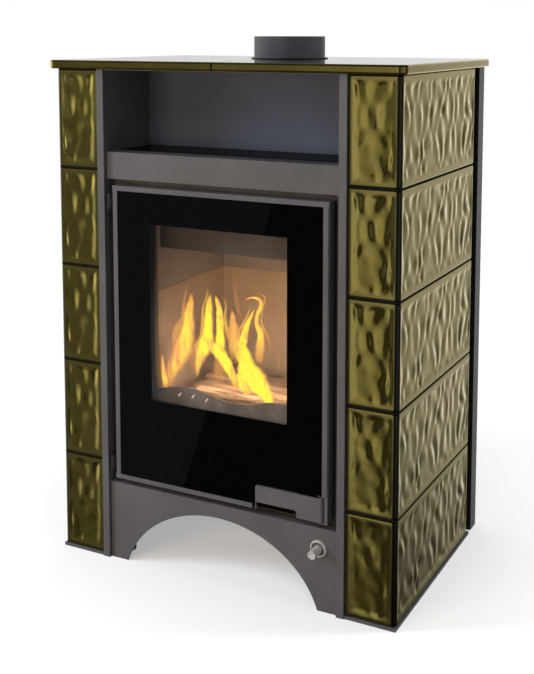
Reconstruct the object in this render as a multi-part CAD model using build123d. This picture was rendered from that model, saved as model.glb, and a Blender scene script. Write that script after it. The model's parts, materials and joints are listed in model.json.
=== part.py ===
from build123d import *
import os
from math import cos, pi

os.makedirs("parts", exist_ok=True)

# Free-standing wood stove: a folded steel frame carries two stacks of glazed corner tiles,
# a ceramic top, an open niche, a firebox with a glazed door, and a plinth with an arch.
# Millimetres. X runs to the right, Y from the front to the back, Z up from the floor.
# Every piece is drawn with the tile fronts at y = 0, and saved about the plan centre.

# ---- sheet and clearances ----
FOLD = 2.0                 # folded frame sheet
COVER = 1.5                # thin cover sheet
PLATE = 4.0                # firebox plate
FIT = 0.3                  # gap between pieces that only meet
RUN = 0.05                 # running clearance on a pin
SLIDE_FIT = 0.1            # running clearance on the air control

# ---- tiles ----
TILE_COURSES = 5
TILE_HEIGHT = 196.0
TILE_JOINT = 4.0
TILE_FACE = 99.0           # width of the short leg seen from the front
TILE_DEPTH = 430.0         # length of the long leg along the side
TILE_WALL = 20.0
TILE_CORNER = 8.0
TILE_ROUND = 3.0
SEAL_WIDTH = 9.0
SEAL_SET_BACK = 8.0
BED_SEAL = 2.0

# ---- frame ----
INNER_HALF = 254.3         # half of the clear width between the front posts
POST_FACE = 15.4
POST_PROUD = 4.0           # front posts stand this far before the tiles
POST_DEPTH = 69.0
POST_GAP = 1.3             # shadow gap between post and tile
TILE_TAB = 20.0            # tab of the post behind the short tile leg
RECESS = 28.4              # dark slot between the tiles and the rear post
REAR_POST_DEPTH = 35.7
REAR_POST_RETURN = 40.0
REAR_POST_INSET = 0.5
REAR_TAB = 60.0            # tab of the rear post behind the long tile leg
SIDE_PANEL_GAP = 0.2
TRAY_HEIGHT = 6.0
TRAY_LIP = 1.5
TRAY_REAR = 10.0           # the tray runs on behind the tiles
FOOT_LUG_Z = 25.0
FOOT_LUG = 30.0
FOOT_RADIUS = 13.0
FOOT_PAD = 5.0
STUD_RADIUS = 5.0

# ---- top ----
SLAB_THICK = 17.0
SLAB_OVERHANG = 11.5
SLAB_FRONT = 15.0
SLAB_BACK = 3.0
SLAB_CORNER = 15.0
SLAB_ROUND = 4.5
SLAB_JOINT = 1.2

# ---- flue ----
FLUE_RADIUS = 75.0
FLUE_WALL = 2.0
FLUE_BACK = 183.1          # flue axis before the rear edge of the top
FLUE_RISE = 46.6           # spigot above the top
FLUE_GAP = 4.0
FLUE_RING = 6.0
FLUE_RING_THICK = 2.0

# ---- front, from the floor up ----
ARCH_PANEL = 162.0
ARCH_SET_BACK = 3.0
ARCH_SIDE = 41.3           # foot of the arch from the post
ARCH_CROWN = 27.3          # panel left above the crown of the arch
ARCH_FLAT = 48.8           # the ellipse centre lies this far below the floor
DOOR_GAP_BELOW = 12.6
DOOR_HEIGHT = 601.4
DOOR_GAP_ABOVE = 12.0
RAIL_HEIGHT = 54.0
RAIL_SET_BACK = 5.0
PANEL_GAP = 1.3

# ---- niche ----
SHELF_THICK = 12.0
SHELF_PROUD = 1.0          # the shelf top above the rail
SHELF_GAP = 4.3
SHELF_FRONT = 46.0
NICHE_DEPTH = 160.0

# ---- door ----
DOOR_SIDE_GAP = 18.3
DOOR_PROUD = 1.0           # glass face before the tile plane
TRIM_THICK = 2.0
TRIM_WIDTH = 10.0
TRIM_INSET = 1.5
TRIM_FOOT = 9.0
GLASS_THICK = 4.0
GLASS_SEAL = 1.0
WINDOW_SIDE = 80.0         # door frame beside, below and above the window
WINDOW_BELOW = 170.4
WINDOW_ABOVE = 67.0
FRAME_PLATE = 4.0
FRAME_DEPTH = 23.0
FRAME_WALL = 2.0
GASKET = 12.0
GASKET_SIDE = 31.0         # gasket from the side edges of the door
GASKET_LAP = 10.0          # gasket beyond the opening, above and below

# ---- door hinge ----
PIN_RADIUS = 4.0
PIN_X = 10.3               # pin centre from the post
PIN_Y = 2.0
KNUCKLE = 6.0
KNUCKLE_LONG = 30.0
KNUCKLE_LEAF = 4.0
BRACKET_THICK = 4.0
HINGE_INSET = 16.0         # brackets from the ends of the door

# ---- handle ----
HANDLE_INSET = 8.5         # handle from the edge of the door
HANDLE_LENGTH = 140.5
HANDLE_HEIGHT = 46.5
HANDLE_CORNER = 3.0
HANDLE_LIFT = 1.4          # underside of the handle above that of the door
HANDLE_PLATE = 3.0
HANDLE_PROUD = 5.0         # face of the handle before the glass
HANDLE_RETURN = 20.0
CUTOUT_WIDTH = 86.5
CUTOUT_HEIGHT = 14.0
CUTOUT_ROUND = 5.0
POCKET_GAP = 2.0
POCKET_SIDE = 7.0          # finger room at the free end of the handle
BARREL = 5.5
HANDLE_PIN = 2.5
LATCH_ARM = 5.0
LATCH_NOSE = 7.0
LATCH_SWING = 12.0
CATCH_GAP = 1.0            # catch from the side of the latch arm

# ---- firebox ----
DOOR_REAR_GAP = 8.0        # front plate behind the door
OPENING_MARGIN = 2.0       # fire opening beyond the window
OPENING_BELOW = 73.4       # fire opening from the ends of the door
OPENING_ABOVE = 41.0
JAMB = 8.0
LINING_SIDE = 17.0         # linings outside the fire opening
LINING_THICK = 30.0
LINING_SET_BACK = 31.0     # linings behind the front plate
REAR_SPACE = 121.4         # face of the rear lining before the rear posts
LOWER_BOARD = 257.0        # height of the lower lining boards
DUCT_DEPTH = 34.0
NICHE_SPACE = 69.0         # air between the firebox and the niche floor
SMOKE_GAP = 41.0
BAFFLE_THICK = 25.0
BAFFLE_SET_BACK = 85.0
FLOOR_DROP = 8.0           # firebox floor below the opening
BASE_DROP = 12.0           # base plate below the top of the arch panel
BASE_PLATE = 3.0
DEFLECTOR_SET_BACK = 15.0
DEFLECTOR_DROP = 117.0
DEFLECTOR_LIP = 15.0
HEARTH_RISE = 58.0
HEARTH_THICK = 8.0
GRATE_WIDTH = 176.0
GRATE_BEFORE = 45.0        # hearth before and behind the grate
GRATE_BEHIND = 47.0
GRATE_BARS = 8
GRATE_THICK = 10.0
GRATE_LEDGE = 6.0
PAN_SIDE = 55.0            # ash pan from the side plates
PAN_CLEAR = 4.0            # below the hearth plate
PAN_SET_BACK = 8.0
PAN_BEHIND = 17.0
PAN_LIP = 80.0             # width of the pull lip
GUARD_GAP = 2.0
GUARD_SIDE = 3.0
GUARD_RISE = 67.0          # mean height of the wavy edge above the hearth
GUARD_WAVE = 8.0
GUARD_WAVELENGTH = 210.0
GUARD_TROUGH = 15.0        # lowest point, to the right of the middle
SLOT_COUNT = 8
SLOTS_TO_RIGHT = 3         # so many slots lean to the right, the others to the left
SLOT_PITCH = 31.0
SLOT_RISE = 54.5
SLOT_LONG = 12.0
SLOT_WIDE = 3.0
SLOT_LEAN = 50.0

# ---- air supply ----
AIR_SIDE = 38.3            # knob from the post
AIR_DROP = 40.0            # knob below the top of the arch panel
KNOB_RADIUS = 8.0
KNOB_OUT = 32.0            # knob end before the arch panel
KNOB_IN = 12.0
ROD_RADIUS = 4.0
AIR_TRAVEL = 35.0
ROSETTE_RADIUS = 17.0
ROSETTE_TOP = 12.0
ROSETTE_THICK = 5.0
BOX_SIDE = 9.3             # air box from the post
BOX_WIDTH = 135.0
BOX_LENGTH = 240.0
BOX_BEHIND = 50.0          # air box before the back panel
BOX_DEPTH = 105.0
PORT_LONG = 28.0
PORT_WIDE = 80.0
SHUTTER_THICK = 3.0
SHUTTER_LAP = 3.0
FLOOR_SLOT_WIDE = 120.0
FLOOR_SLOT_DEEP = 40.0
INLET_RADIUS = 50.0
INLET_DROP = 52.0          # centre of the air inlet below the base plate
INLET_ACCESS = 12.0        # free ring around the inlet in the back panel

# ---- back panel ----
VENT_COLUMNS = 3
VENT_ROWS = 8
VENT_LONG = 120.0
VENT_TALL = 8.0
VENT_PITCH_X = 170.0
VENT_PITCH_Z = 24.0
VENT_TOP_MARGIN = 60.0

# ---- places worked out from the sizes above ----
SHADOW = POST_FACE + POST_GAP
HALF_WIDTH = INNER_HALF + SHADOW + TILE_FACE
TILE_INNER = INNER_HALF + SHADOW
TILE_BED = TRAY_HEIGHT + BED_SEAL
TILE_PITCH = TILE_HEIGHT + TILE_JOINT
TILE_TOP = TILE_BED + TILE_COURSES * TILE_PITCH - TILE_JOINT
FRAME_TOP = TILE_TOP + BED_SEAL
SLAB_TOP = FRAME_TOP + SLAB_THICK
SLAB_HALF = HALF_WIDTH + SLAB_OVERHANG
REAR_POST_Y = TILE_DEPTH + RECESS
REAR_Y = REAR_POST_Y + REAR_POST_DEPTH
SLAB_REAR = REAR_Y + SLAB_BACK
POST_FRONT = -POST_PROUD
POST_BACK = POST_FRONT + POST_DEPTH
SIDE_PANEL_X = INNER_HALF + SIDE_PANEL_GAP
BACK_PANEL_Y = REAR_Y - 2 * FOLD
FLUE_Y = SLAB_REAR - FLUE_BACK
FLUE_TOP = SLAB_TOP + FLUE_RISE
FLUE_HOLE = FLUE_RADIUS + FLUE_GAP
DOOR_LOW = ARCH_PANEL + DOOR_GAP_BELOW
DOOR_HIGH = DOOR_LOW + DOOR_HEIGHT
DOOR_HALF = INNER_HALF - DOOR_SIDE_GAP
RAIL_LOW = DOOR_HIGH + DOOR_GAP_ABOVE
RAIL_TOP = RAIL_LOW + RAIL_HEIGHT
SHELF_TOP = RAIL_TOP + SHELF_PROUD
SHELF_BED = SHELF_TOP - SHELF_THICK
ARCH_Y = ARCH_SET_BACK
ARCH_HALF = INNER_HALF - ARCH_SIDE
ARCH_RISE = ARCH_PANEL - ARCH_CROWN

# the door and its handle
GLASS_Y = -DOOR_PROUD
TRIM_Y = GLASS_Y - TRIM_THICK
GLASS_BACK = GLASS_Y + GLASS_THICK
FRAME_FACE = GLASS_BACK + GLASS_SEAL
FRAME_REAR = FRAME_FACE + FRAME_PLATE
DOOR_BACK = GLASS_Y + FRAME_DEPTH
WINDOW_HALF = DOOR_HALF - WINDOW_SIDE
WINDOW_LOW = DOOR_LOW + WINDOW_BELOW
WINDOW_HIGH = DOOR_HIGH - WINDOW_ABOVE
HANDLE_RIGHT = DOOR_HALF - HANDLE_INSET
HANDLE_LEFT = HANDLE_RIGHT - HANDLE_LENGTH
HANDLE_LOW = DOOR_LOW + HANDLE_LIFT
HANDLE_HIGH = HANDLE_LOW + HANDLE_HEIGHT
HANDLE_Y = GLASS_Y - HANDLE_PROUD
HANDLE_AXIS_X = HANDLE_RIGHT - BARREL
HANDLE_AXIS_Y = HANDLE_Y + BARREL
TRIM_X = DOOR_HALF - TRIM_INSET - TRIM_WIDTH
POCKET_LEFT = HANDLE_LEFT - POCKET_SIDE
POCKET_HIGH = HANDLE_HIGH + POCKET_GAP
POCKET_RIGHT = HANDLE_RIGHT + POCKET_GAP
PIN_LOW = DOOR_LOW - FRAME_WALL / 2
PIN_HIGH = POCKET_HIGH + FRAME_WALL + FIT
HINGE_X = -(INNER_HALF - PIN_X)
HINGE_LEVELS = [DOOR_LOW + HINGE_INSET, DOOR_HIGH - HINGE_INSET - KNUCKLE_LONG - FIT]

# the fire opening and its gasket
FRONT_PLATE_Y = DOOR_BACK + DOOR_REAR_GAP
FRONT_PLATE_BACK = FRONT_PLATE_Y + PLATE
OPENING_HALF = WINDOW_HALF + OPENING_MARGIN
OPENING_LOW = DOOR_LOW + OPENING_BELOW
OPENING_HIGH = DOOR_HIGH - OPENING_ABOVE
GASKET_HALF = DOOR_HALF - GASKET_SIDE
GASKET_LOW = OPENING_LOW - GASKET_LAP
GASKET_HIGH = OPENING_HIGH + GASKET_LAP

# the firebox and its lining
FIREBOX_FLOOR = OPENING_LOW - FLOOR_DROP
FIREBOX_TOP = SHELF_BED - FOLD - NICHE_SPACE
FIREBOX_CEILING = FIREBOX_TOP - PLATE
LINING_HALF = OPENING_HALF + LINING_SIDE
LINING_FRONT = FRONT_PLATE_BACK + LINING_SET_BACK
LINING_BACK = REAR_POST_Y - REAR_SPACE
LINING_TOP = FIREBOX_CEILING - SMOKE_GAP - BAFFLE_THICK
SHELL_HALF = LINING_HALF + LINING_THICK
DUCT_Y = LINING_BACK + LINING_THICK
REAR_PLATE_Y = DUCT_Y + DUCT_DEPTH
BAFFLE_FRONT = LINING_FRONT + BAFFLE_SET_BACK
DEFLECTOR_Y = LINING_FRONT + DEFLECTOR_SET_BACK
DEFLECTOR_LOW = FIREBOX_TOP - DEFLECTOR_DROP

# the hearth, the grate, the ash pan and the log guard
HEARTH_BED = FIREBOX_FLOOR + PLATE
HEARTH_TOP = FIREBOX_FLOOR + HEARTH_RISE
HEARTH_FRONT = FRONT_PLATE_Y + JAMB + FIT
LINING_SEAM = HEARTH_TOP + LOWER_BOARD
GRATE_HALF = GRATE_WIDTH / 2
GRATE_FRONT = LINING_FRONT + GRATE_BEFORE
GRATE_BACK = LINING_BACK - GRATE_BEHIND
GUARD_Y = FRONT_PLATE_Y + JAMB + GUARD_GAP
GUARD_HALF = LINING_HALF - GUARD_SIDE
PAN_HALF = SHELL_HALF - PAN_SIDE
PAN_FRONT = GUARD_Y + PAN_SET_BACK
PAN_BACK = LINING_BACK - PAN_BEHIND
PAN_TOP = HEARTH_TOP - HEARTH_THICK - PAN_CLEAR

# the air supply
BASE_PLATE_Z = ARCH_PANEL - BASE_DROP
BASE_TOP = BASE_PLATE_Z + BASE_PLATE
AIR_X = INNER_HALF - AIR_SIDE
AIR_Z = ARCH_PANEL - AIR_DROP
KNOB_FRONT = ARCH_Y - KNOB_OUT
BOX_RIGHT = INNER_HALF - BOX_SIDE
BOX_LEFT = BOX_RIGHT - BOX_WIDTH
BOX_BACK = BACK_PANEL_Y - BOX_BEHIND
BOX_FRONT = BOX_BACK - BOX_LENGTH
INLET_Z = BASE_PLATE_Z - INLET_DROP
INLET_X = (BOX_LEFT + BOX_RIGHT) / 2
PORT_Y = BOX_FRONT + 2 * FOLD + AIR_TRAVEL + SHUTTER_LAP + PORT_LONG / 2

PLAN_CENTRE_Y = (KNOB_FRONT + SLAB_REAR) / 2


# ---- drawing helpers ----
def block(x0, x1, y0, y1, z0, z1):
    """A box between two opposite corners."""
    middle = Pos((x0 + x1) / 2, (y0 + y1) / 2, (z0 + z1) / 2)
    return middle * Box(x1 - x0, y1 - y0, z1 - z0)


def post(x, y, z0, z1, radius):
    """An upright cylinder."""
    return Pos(x, y, (z0 + z1) / 2) * Cylinder(radius, z1 - z0)


def bar_y(x, z, y0, y1, radius):
    """A cylinder that runs from front to back."""
    return Pos(x, (y0 + y1) / 2, z) * Rot(90, 0, 0) * Cylinder(radius, y1 - y0)


def ring(half, low, high, width, y0, y1):
    """A rectangular ring in the plane of the door."""
    outer = block(-half, half, y0, y1, low, high)
    return outer - block(width - half, half - width, y0, y1, low + width, high - width)


def mirrored(shape):
    """The same piece for the other side of the stove."""
    return mirror(shape, about=Plane.YZ)


def save(name, *shapes):
    """Write one node, moved so that the plan centre is at the origin."""
    solids = [solid for shape in shapes for solid in shape.solids()]
    node = Pos(0, -PLAN_CENTRE_Y, 0) * Compound(solids)
    node.label = name
    export_step(node, f"parts/{name}.step")


# ---- ceramic stacks ----
def corner_outline(inset, wall):
    """The L plan of a corner tile, set in from its faces."""
    outer = HALF_WIDTH - inset
    inner = outer - wall
    points = [
        (TILE_INNER, inset),
        (outer, inset),
        (outer, TILE_DEPTH),
        (inner, TILE_DEPTH),
        (inner, inset + wall),
        (TILE_INNER, inset + wall),
    ]
    return make_face(Polyline(*points, close=True))


def corner_tile(course):
    """One hollow-backed tile that wraps round the front corner."""
    low = TILE_BED + course * TILE_PITCH
    tile = extrude(Pos(0, 0, low) * corner_outline(0, TILE_WALL), TILE_HEIGHT)
    uprights = tile.edges().filter_by(Axis.Z)
    corner = uprights.sort_by_distance((HALF_WIDTH, 0, low + TILE_HEIGHT / 2))[0]
    tile = fillet(corner, TILE_CORNER)
    uprights = tile.edges().filter_by(Axis.Z)
    end = uprights.sort_by_distance((HALF_WIDTH, TILE_DEPTH, low + TILE_HEIGHT / 2))[0]
    tile = fillet(end, TILE_CORNER)
    reach = TILE_WALL / 2
    rim = [
        edge for edge in tile.edges()
        if abs(edge.tangent_at(0).Z) < 0.01
        and (edge.center().Y < reach or edge.center().X > HALF_WIDTH - reach)
        and edge.length > reach / 2
        and edge.center().Y < TILE_DEPTH - reach
    ]
    rim = [edge for edge in rim if abs(edge.center().X - TILE_INNER) > FIT]
    return fillet(rim, TILE_ROUND)


def seal_strip(low, high):
    """A strip between two courses, hidden behind the tile faces."""
    return extrude(Pos(0, 0, low) * corner_outline(SEAL_SET_BACK, SEAL_WIDTH), high - low)


def tile_seals():
    """All bed and joint strips of one stack."""
    strips = [seal_strip(TRAY_HEIGHT, TILE_BED)]
    for course in range(1, TILE_COURSES):
        top = TILE_BED + course * TILE_PITCH
        strips.append(seal_strip(top - TILE_JOINT, top))
    strips.append(seal_strip(TILE_TOP, FRAME_TOP))
    return strips


def base_tray():
    """The folded tray with a short rim that carries one stack."""
    x0 = INNER_HALF + POST_FACE
    x1 = HALF_WIDTH + TRAY_LIP
    y0 = -FOLD
    y1 = TILE_DEPTH + TRAY_REAR
    plate = block(x0, x1, y0, y1, TRAY_HEIGHT - FOLD, TRAY_HEIGHT)
    front = block(x0, x1, y0, y0 + FOLD, 0, TRAY_HEIGHT)
    side = block(x1 - FOLD, x1, y0, y1, 0, TRAY_HEIGHT)
    tongue_x = HALF_WIDTH - TILE_WALL
    tongue = block(x0, tongue_x, y1 - FOLD, REAR_POST_Y, TRAY_HEIGHT - FOLD, TRAY_HEIGHT)
    return plate + front + side + tongue


# ---- frame ----
def foot_lug(x, y):
    """A lug with a threaded hole for a levelling foot."""
    half = FOOT_LUG / 2
    plate = block(x - half, x + half, y - half, y + half, FOOT_LUG_Z, FOOT_LUG_Z + FOLD)
    return plate - post(x, y, FOOT_LUG_Z, FOOT_LUG_Z + FOLD, STUD_RADIUS)


FRONT_FOOT = (INNER_HALF - FOOT_LUG / 2, FRONT_PLATE_BACK + FOOT_LUG / 2)
REAR_FOOT = (
    HALF_WIDTH - REAR_POST_INSET - FOLD - FOOT_LUG / 2,
    REAR_Y - FOLD - FOOT_LUG / 2,
)


def front_post():
    """Folded channel beside the door, with a tab behind the tile."""
    x0 = INNER_HALF
    x1 = INNER_HALF + POST_FACE
    y0 = POST_FRONT
    tab_y = TILE_WALL + FIT
    inner = block(x0, x0 + FOLD, y0, POST_BACK, 0, FRAME_TOP)
    face = block(x0, x1, y0, y0 + FOLD, 0, FRAME_TOP)
    outer = block(x1 - FOLD, x1, y0, tab_y + FOLD, 0, FRAME_TOP)
    tab = block(x1, x1 + TILE_TAB, tab_y, tab_y + FOLD, TILE_BED, TILE_TOP)
    return inner + face + outer + tab + foot_lug(*FRONT_FOOT)


def rear_post():
    """Folded rear corner with a recessed tab behind the long tile leg."""
    x1 = HALF_WIDTH - REAR_POST_INSET
    tab_x1 = HALF_WIDTH - TILE_WALL - FIT
    tab_x0 = tab_x1 - FOLD
    outer = block(x1 - FOLD, x1, REAR_POST_Y, REAR_Y, 0, FRAME_TOP)
    rear = block(x1 - REAR_POST_RETURN, x1, REAR_Y - FOLD, REAR_Y, 0, FRAME_TOP)
    front = block(tab_x0, x1, REAR_POST_Y, REAR_POST_Y + FOLD, 0, FRAME_TOP)
    tab = block(tab_x0, tab_x1, TILE_DEPTH - REAR_TAB, REAR_POST_Y + FOLD, TILE_BED, TILE_TOP)
    return outer + rear + front + tab + foot_lug(*REAR_FOOT)


def side_panel():
    """Cover sheet between the firebox and the tile stack."""
    x0 = SIDE_PANEL_X
    return block(x0, x0 + COVER, POST_BACK + FIT, BACK_PANEL_Y, TRAY_HEIGHT, TILE_TOP)


def levelling_feet():
    """Four pads on threaded studs."""
    feet = []
    for side in (-1, 1):
        for x, y in (FRONT_FOOT, REAR_FOOT):
            pad = post(side * x, y, 0, FOOT_PAD, FOOT_RADIUS)
            feet.append(pad + post(side * x, y, FOOT_PAD, FOOT_LUG_Z + 3 * FOLD, STUD_RADIUS))
    return feet


def back_panel():
    """Rear cover with vent slots and a free hole round the air inlet."""
    half = HALF_WIDTH - REAR_POST_INSET - FOLD - FIT
    panel = block(-half, half, BACK_PANEL_Y, BACK_PANEL_Y + FOLD, FOOT_LUG_Z + 3 * FOLD, TILE_TOP)
    slots = []
    for column in range(VENT_COLUMNS):
        x = (column - (VENT_COLUMNS - 1) / 2) * VENT_PITCH_X
        for row in range(VENT_ROWS):
            z = TILE_TOP - VENT_TOP_MARGIN - row * VENT_PITCH_Z
            slots.append(
                block(
                    x - VENT_LONG / 2, x + VENT_LONG / 2, BACK_PANEL_Y, BACK_PANEL_Y + FOLD,
                    z - VENT_TALL / 2, z + VENT_TALL / 2,
                )
            )
    slots.append(
        bar_y(INLET_X, INLET_Z, BACK_PANEL_Y, BACK_PANEL_Y + FOLD, INLET_RADIUS + INLET_ACCESS)
    )
    return panel - slots


# ---- top ----
def top_plate():
    """Sheet that ties the frame and carries the ceramic top."""
    tile_back = HALF_WIDTH - TILE_WALL - FOLD - 2 * FIT
    inner = INNER_HALF - FIT
    front = block(-inner, inner, POST_FRONT + FOLD, POST_BACK + FIT, TILE_TOP, FRAME_TOP)
    main = block(-tile_back, tile_back, POST_BACK + FIT, REAR_POST_Y - FIT, TILE_TOP, FRAME_TOP)
    back_half = HALF_WIDTH - REAR_POST_INSET - REAR_POST_RETURN
    back = block(
        -back_half, back_half, REAR_POST_Y - FIT, BACK_PANEL_Y + FOLD, TILE_TOP, FRAME_TOP
    )
    return front + main + back - post(0, FLUE_Y, TILE_TOP, FRAME_TOP, FLUE_HOLE)


def top_slab():
    """Right half of the ceramic top, rounded at its outer edges."""
    depth = SLAB_REAR + SLAB_FRONT
    middle_y = (SLAB_REAR - SLAB_FRONT) / 2
    plan = Pos(0, middle_y, FRAME_TOP) * RectangleRounded(2 * SLAB_HALF, depth, SLAB_CORNER)
    slab = extrude(plan, SLAB_THICK)
    rim = slab.edges().filter_by(Axis.Z, reverse=True)
    slab = fillet(rim, SLAB_ROUND)
    slab = slab & block(
        SLAB_JOINT / 2, SLAB_HALF, -SLAB_FRONT, SLAB_REAR, FRAME_TOP, SLAB_TOP
    )
    return slab - post(0, FLUE_Y, FRAME_TOP, SLAB_TOP, FLUE_HOLE)


def flue_pipe():
    """Smoke pipe from the firebox top to the spigot above the stove."""
    spigot_z = SLAB_TOP + FLUE_RING_THICK
    spigot = post(0, FLUE_Y, spigot_z, FLUE_TOP, FLUE_RADIUS)
    pipe = post(0, FLUE_Y, FIREBOX_TOP, spigot_z, FLUE_RADIUS - FLUE_WALL / 2)
    return spigot + pipe - post(0, FLUE_Y, FIREBOX_TOP, FLUE_TOP, FLUE_RADIUS - FLUE_WALL)


def flue_ring():
    """Flat ring that covers the hole in the ceramic top."""
    high = SLAB_TOP + FLUE_RING_THICK
    outer = post(0, FLUE_Y, SLAB_TOP, high, FLUE_RADIUS + FLUE_RING)
    return outer - post(0, FLUE_Y, SLAB_TOP, high, FLUE_RADIUS + FIT)


# ---- niche ----
def shelf_rail():
    """Folded rail between the door and the niche."""
    half = INNER_HALF - PANEL_GAP
    y0 = RAIL_SET_BACK
    face = block(-half, half, y0, y0 + FOLD, RAIL_LOW, RAIL_TOP)
    top = block(-half, half, y0, SHELF_FRONT - FIT, RAIL_TOP - FOLD, RAIL_TOP)
    low = block(-half, half, y0, FRONT_PLATE_Y, RAIL_LOW, RAIL_LOW + FOLD)
    return face + top + low


def niche_liner():
    """Folded floor and back of the niche."""
    half = INNER_HALF - FIT
    y0 = FRONT_PLATE_Y
    y1 = NICHE_DEPTH + FOLD
    floor = block(-half, half, y0, y1, SHELF_BED - FOLD, SHELF_BED)
    back = block(-half, half, NICHE_DEPTH, y1, SHELF_BED - FOLD, TILE_TOP)
    return floor + back


def shelf_slab():
    """Glossy slab laid on the niche floor."""
    half = INNER_HALF - SHELF_GAP
    back = NICHE_DEPTH - SHELF_GAP + FOLD / 2
    slab = block(-half, half, SHELF_FRONT, back, SHELF_BED, SHELF_TOP)
    return fillet(slab.edges().group_by(Axis.Z)[-1], FOLD / 2)


# ---- plinth ----
def arch_panel():
    """Front apron with an elliptical arch and a folded top flange."""
    half = INNER_HALF - PANEL_GAP
    face = block(-half, half, ARCH_Y, ARCH_Y + FOLD, 0, ARCH_PANEL)
    flange = block(-half, half, ARCH_Y, FRONT_PLATE_Y, ARCH_PANEL - FOLD, ARCH_PANEL)
    tall = ARCH_RISE + ARCH_FLAT
    wide = ARCH_HALF / (1 - (ARCH_FLAT / tall) ** 2) ** 0.5
    plan = Plane((0, ARCH_Y, -ARCH_FLAT), x_dir=(1, 0, 0), z_dir=(0, -1, 0))
    arch = extrude(plan * Ellipse(wide, tall), FOLD, both=True)
    hole = bar_y(AIR_X, AIR_Z, ARCH_Y, ARCH_Y + FOLD, KNOB_RADIUS + FIT)
    return face + flange - arch - hole


def base_plate():
    """Plate under the firebox with the port for the combustion air."""
    half = INNER_HALF - FIT
    plate = block(-half, half, FRONT_PLATE_Y, BACK_PANEL_Y - FIT, BASE_PLATE_Z, BASE_TOP)
    port = block(
        INLET_X - PORT_WIDE / 2, INLET_X + PORT_WIDE / 2,
        PORT_Y - PORT_LONG / 2, PORT_Y + PORT_LONG / 2, BASE_PLATE_Z, BASE_TOP,
    )
    return plate - port


# ---- firebox ----
def firebox_front():
    """Front plate with the opening that the door closes."""
    half = INNER_HALF - FIT
    plate = block(-half, half, FRONT_PLATE_Y, FRONT_PLATE_BACK, BASE_TOP, SHELF_BED - FOLD)
    jamb_half = OPENING_HALF + FOLD
    jamb = block(
        -jamb_half, jamb_half, FRONT_PLATE_Y, FRONT_PLATE_Y + JAMB,
        OPENING_LOW - FOLD, OPENING_HIGH + FOLD,
    )
    opening = block(
        -OPENING_HALF, OPENING_HALF, FRONT_PLATE_Y, FRONT_PLATE_Y + JAMB,
        OPENING_LOW, OPENING_HIGH,
    )
    return plate + jamb - opening


def firebox_side():
    """Right side plate, down to the base plate."""
    x0 = SHELL_HALF
    y1 = REAR_PLATE_Y + PLATE
    return block(x0, x0 + PLATE, FRONT_PLATE_BACK, y1, BASE_TOP, FIREBOX_CEILING)


def firebox_rear():
    """Rear plate between the side plates."""
    x = SHELL_HALF
    return block(-x, x, REAR_PLATE_Y, REAR_PLATE_Y + PLATE, BASE_TOP, FIREBOX_CEILING)


def firebox_floor():
    """Floor plate under the ash pan, with the air passage to the grate."""
    x = SHELL_HALF
    plate = block(-x, x, FRONT_PLATE_BACK, REAR_PLATE_Y, FIREBOX_FLOOR, HEARTH_BED)
    y0 = PAN_BACK + FOLD
    half = FLOOR_SLOT_WIDE / 2
    slot = block(-half, half, y0, y0 + FLOOR_SLOT_DEEP, FIREBOX_FLOOR, HEARTH_BED)
    return plate - slot


def firebox_top():
    """Top plate with the smoke outlet."""
    x = SHELL_HALF + PLATE
    plate = block(-x, x, FRONT_PLATE_BACK, REAR_PLATE_Y + PLATE, FIREBOX_CEILING, FIREBOX_TOP)
    return plate - post(0, FLUE_Y, FIREBOX_CEILING, FIREBOX_TOP, FLUE_RADIUS - FLUE_WALL)


def hearth_plate():
    """Cast bridge over the ash pan, open for the grate."""
    x = SHELL_HALF - FIT
    y1 = REAR_PLATE_Y - FIT
    top = block(-x, x, HEARTH_FRONT, y1, HEARTH_TOP - HEARTH_THICK, HEARTH_TOP)
    left = block(-x, HEARTH_THICK - x, HEARTH_FRONT, y1, HEARTH_BED, HEARTH_TOP)
    right = block(x - HEARTH_THICK, x, HEARTH_FRONT, y1, HEARTH_BED, HEARTH_TOP)
    clear = GRATE_HALF + FIT
    seat = block(
        -clear, clear, GRATE_FRONT - FIT, GRATE_BACK + FIT,
        HEARTH_TOP - HEARTH_THICK / 2, HEARTH_TOP,
    )
    ledge = GRATE_LEDGE
    opening = block(
        ledge - GRATE_HALF, GRATE_HALF - ledge, GRATE_FRONT + ledge, GRATE_BACK - ledge,
        HEARTH_BED, HEARTH_TOP,
    )
    return top + left + right - seat - opening


def grate():
    """Cast grate with slots between its bars."""
    z0 = HEARTH_TOP - HEARTH_THICK / 2
    z1 = z0 + GRATE_THICK
    plate = block(-GRATE_HALF, GRATE_HALF, GRATE_FRONT, GRATE_BACK, z0, z1)
    rim = 2 * GRATE_LEDGE
    pitch = (2 * GRATE_HALF - 2 * rim) / GRATE_BARS
    slots = []
    for index in range(GRATE_BARS):
        x = rim - GRATE_HALF + (index + 0.5) * pitch
        slots.append(block(x - pitch / 4, x + pitch / 4, GRATE_FRONT + rim, GRATE_BACK - rim, z0, z1))
    return plate - slots


def ash_pan():
    """Open pan under the grate, and its pull lip."""
    z1 = PAN_TOP
    pan = block(-PAN_HALF, PAN_HALF, PAN_FRONT, PAN_BACK, HEARTH_BED, z1)
    inside = block(
        FOLD - PAN_HALF, PAN_HALF - FOLD, PAN_FRONT + FOLD, PAN_BACK - FOLD,
        HEARTH_BED + FOLD, z1,
    )
    half = PAN_LIP / 2
    lip = block(-half, half, GUARD_Y, PAN_FRONT, z1 - FOLD, z1)
    return [pan - inside, lip]


def lining_boards(x0, x1, y0, y1):
    """A lower and an upper board with a seam between them."""
    lower = block(x0, x1, y0, y1, HEARTH_TOP, LINING_SEAM)
    upper = block(x0, x1, y0, y1, LINING_SEAM + FIT, LINING_TOP)
    upper = chamfer(upper.edges().group_by(Axis.Z)[0], FOLD / 2)
    return [lower, upper]


def lining_side():
    """Boards along the right side of the fire."""
    return lining_boards(LINING_HALF, SHELL_HALF - FIT, LINING_FRONT, REAR_PLATE_Y - FIT)


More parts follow.
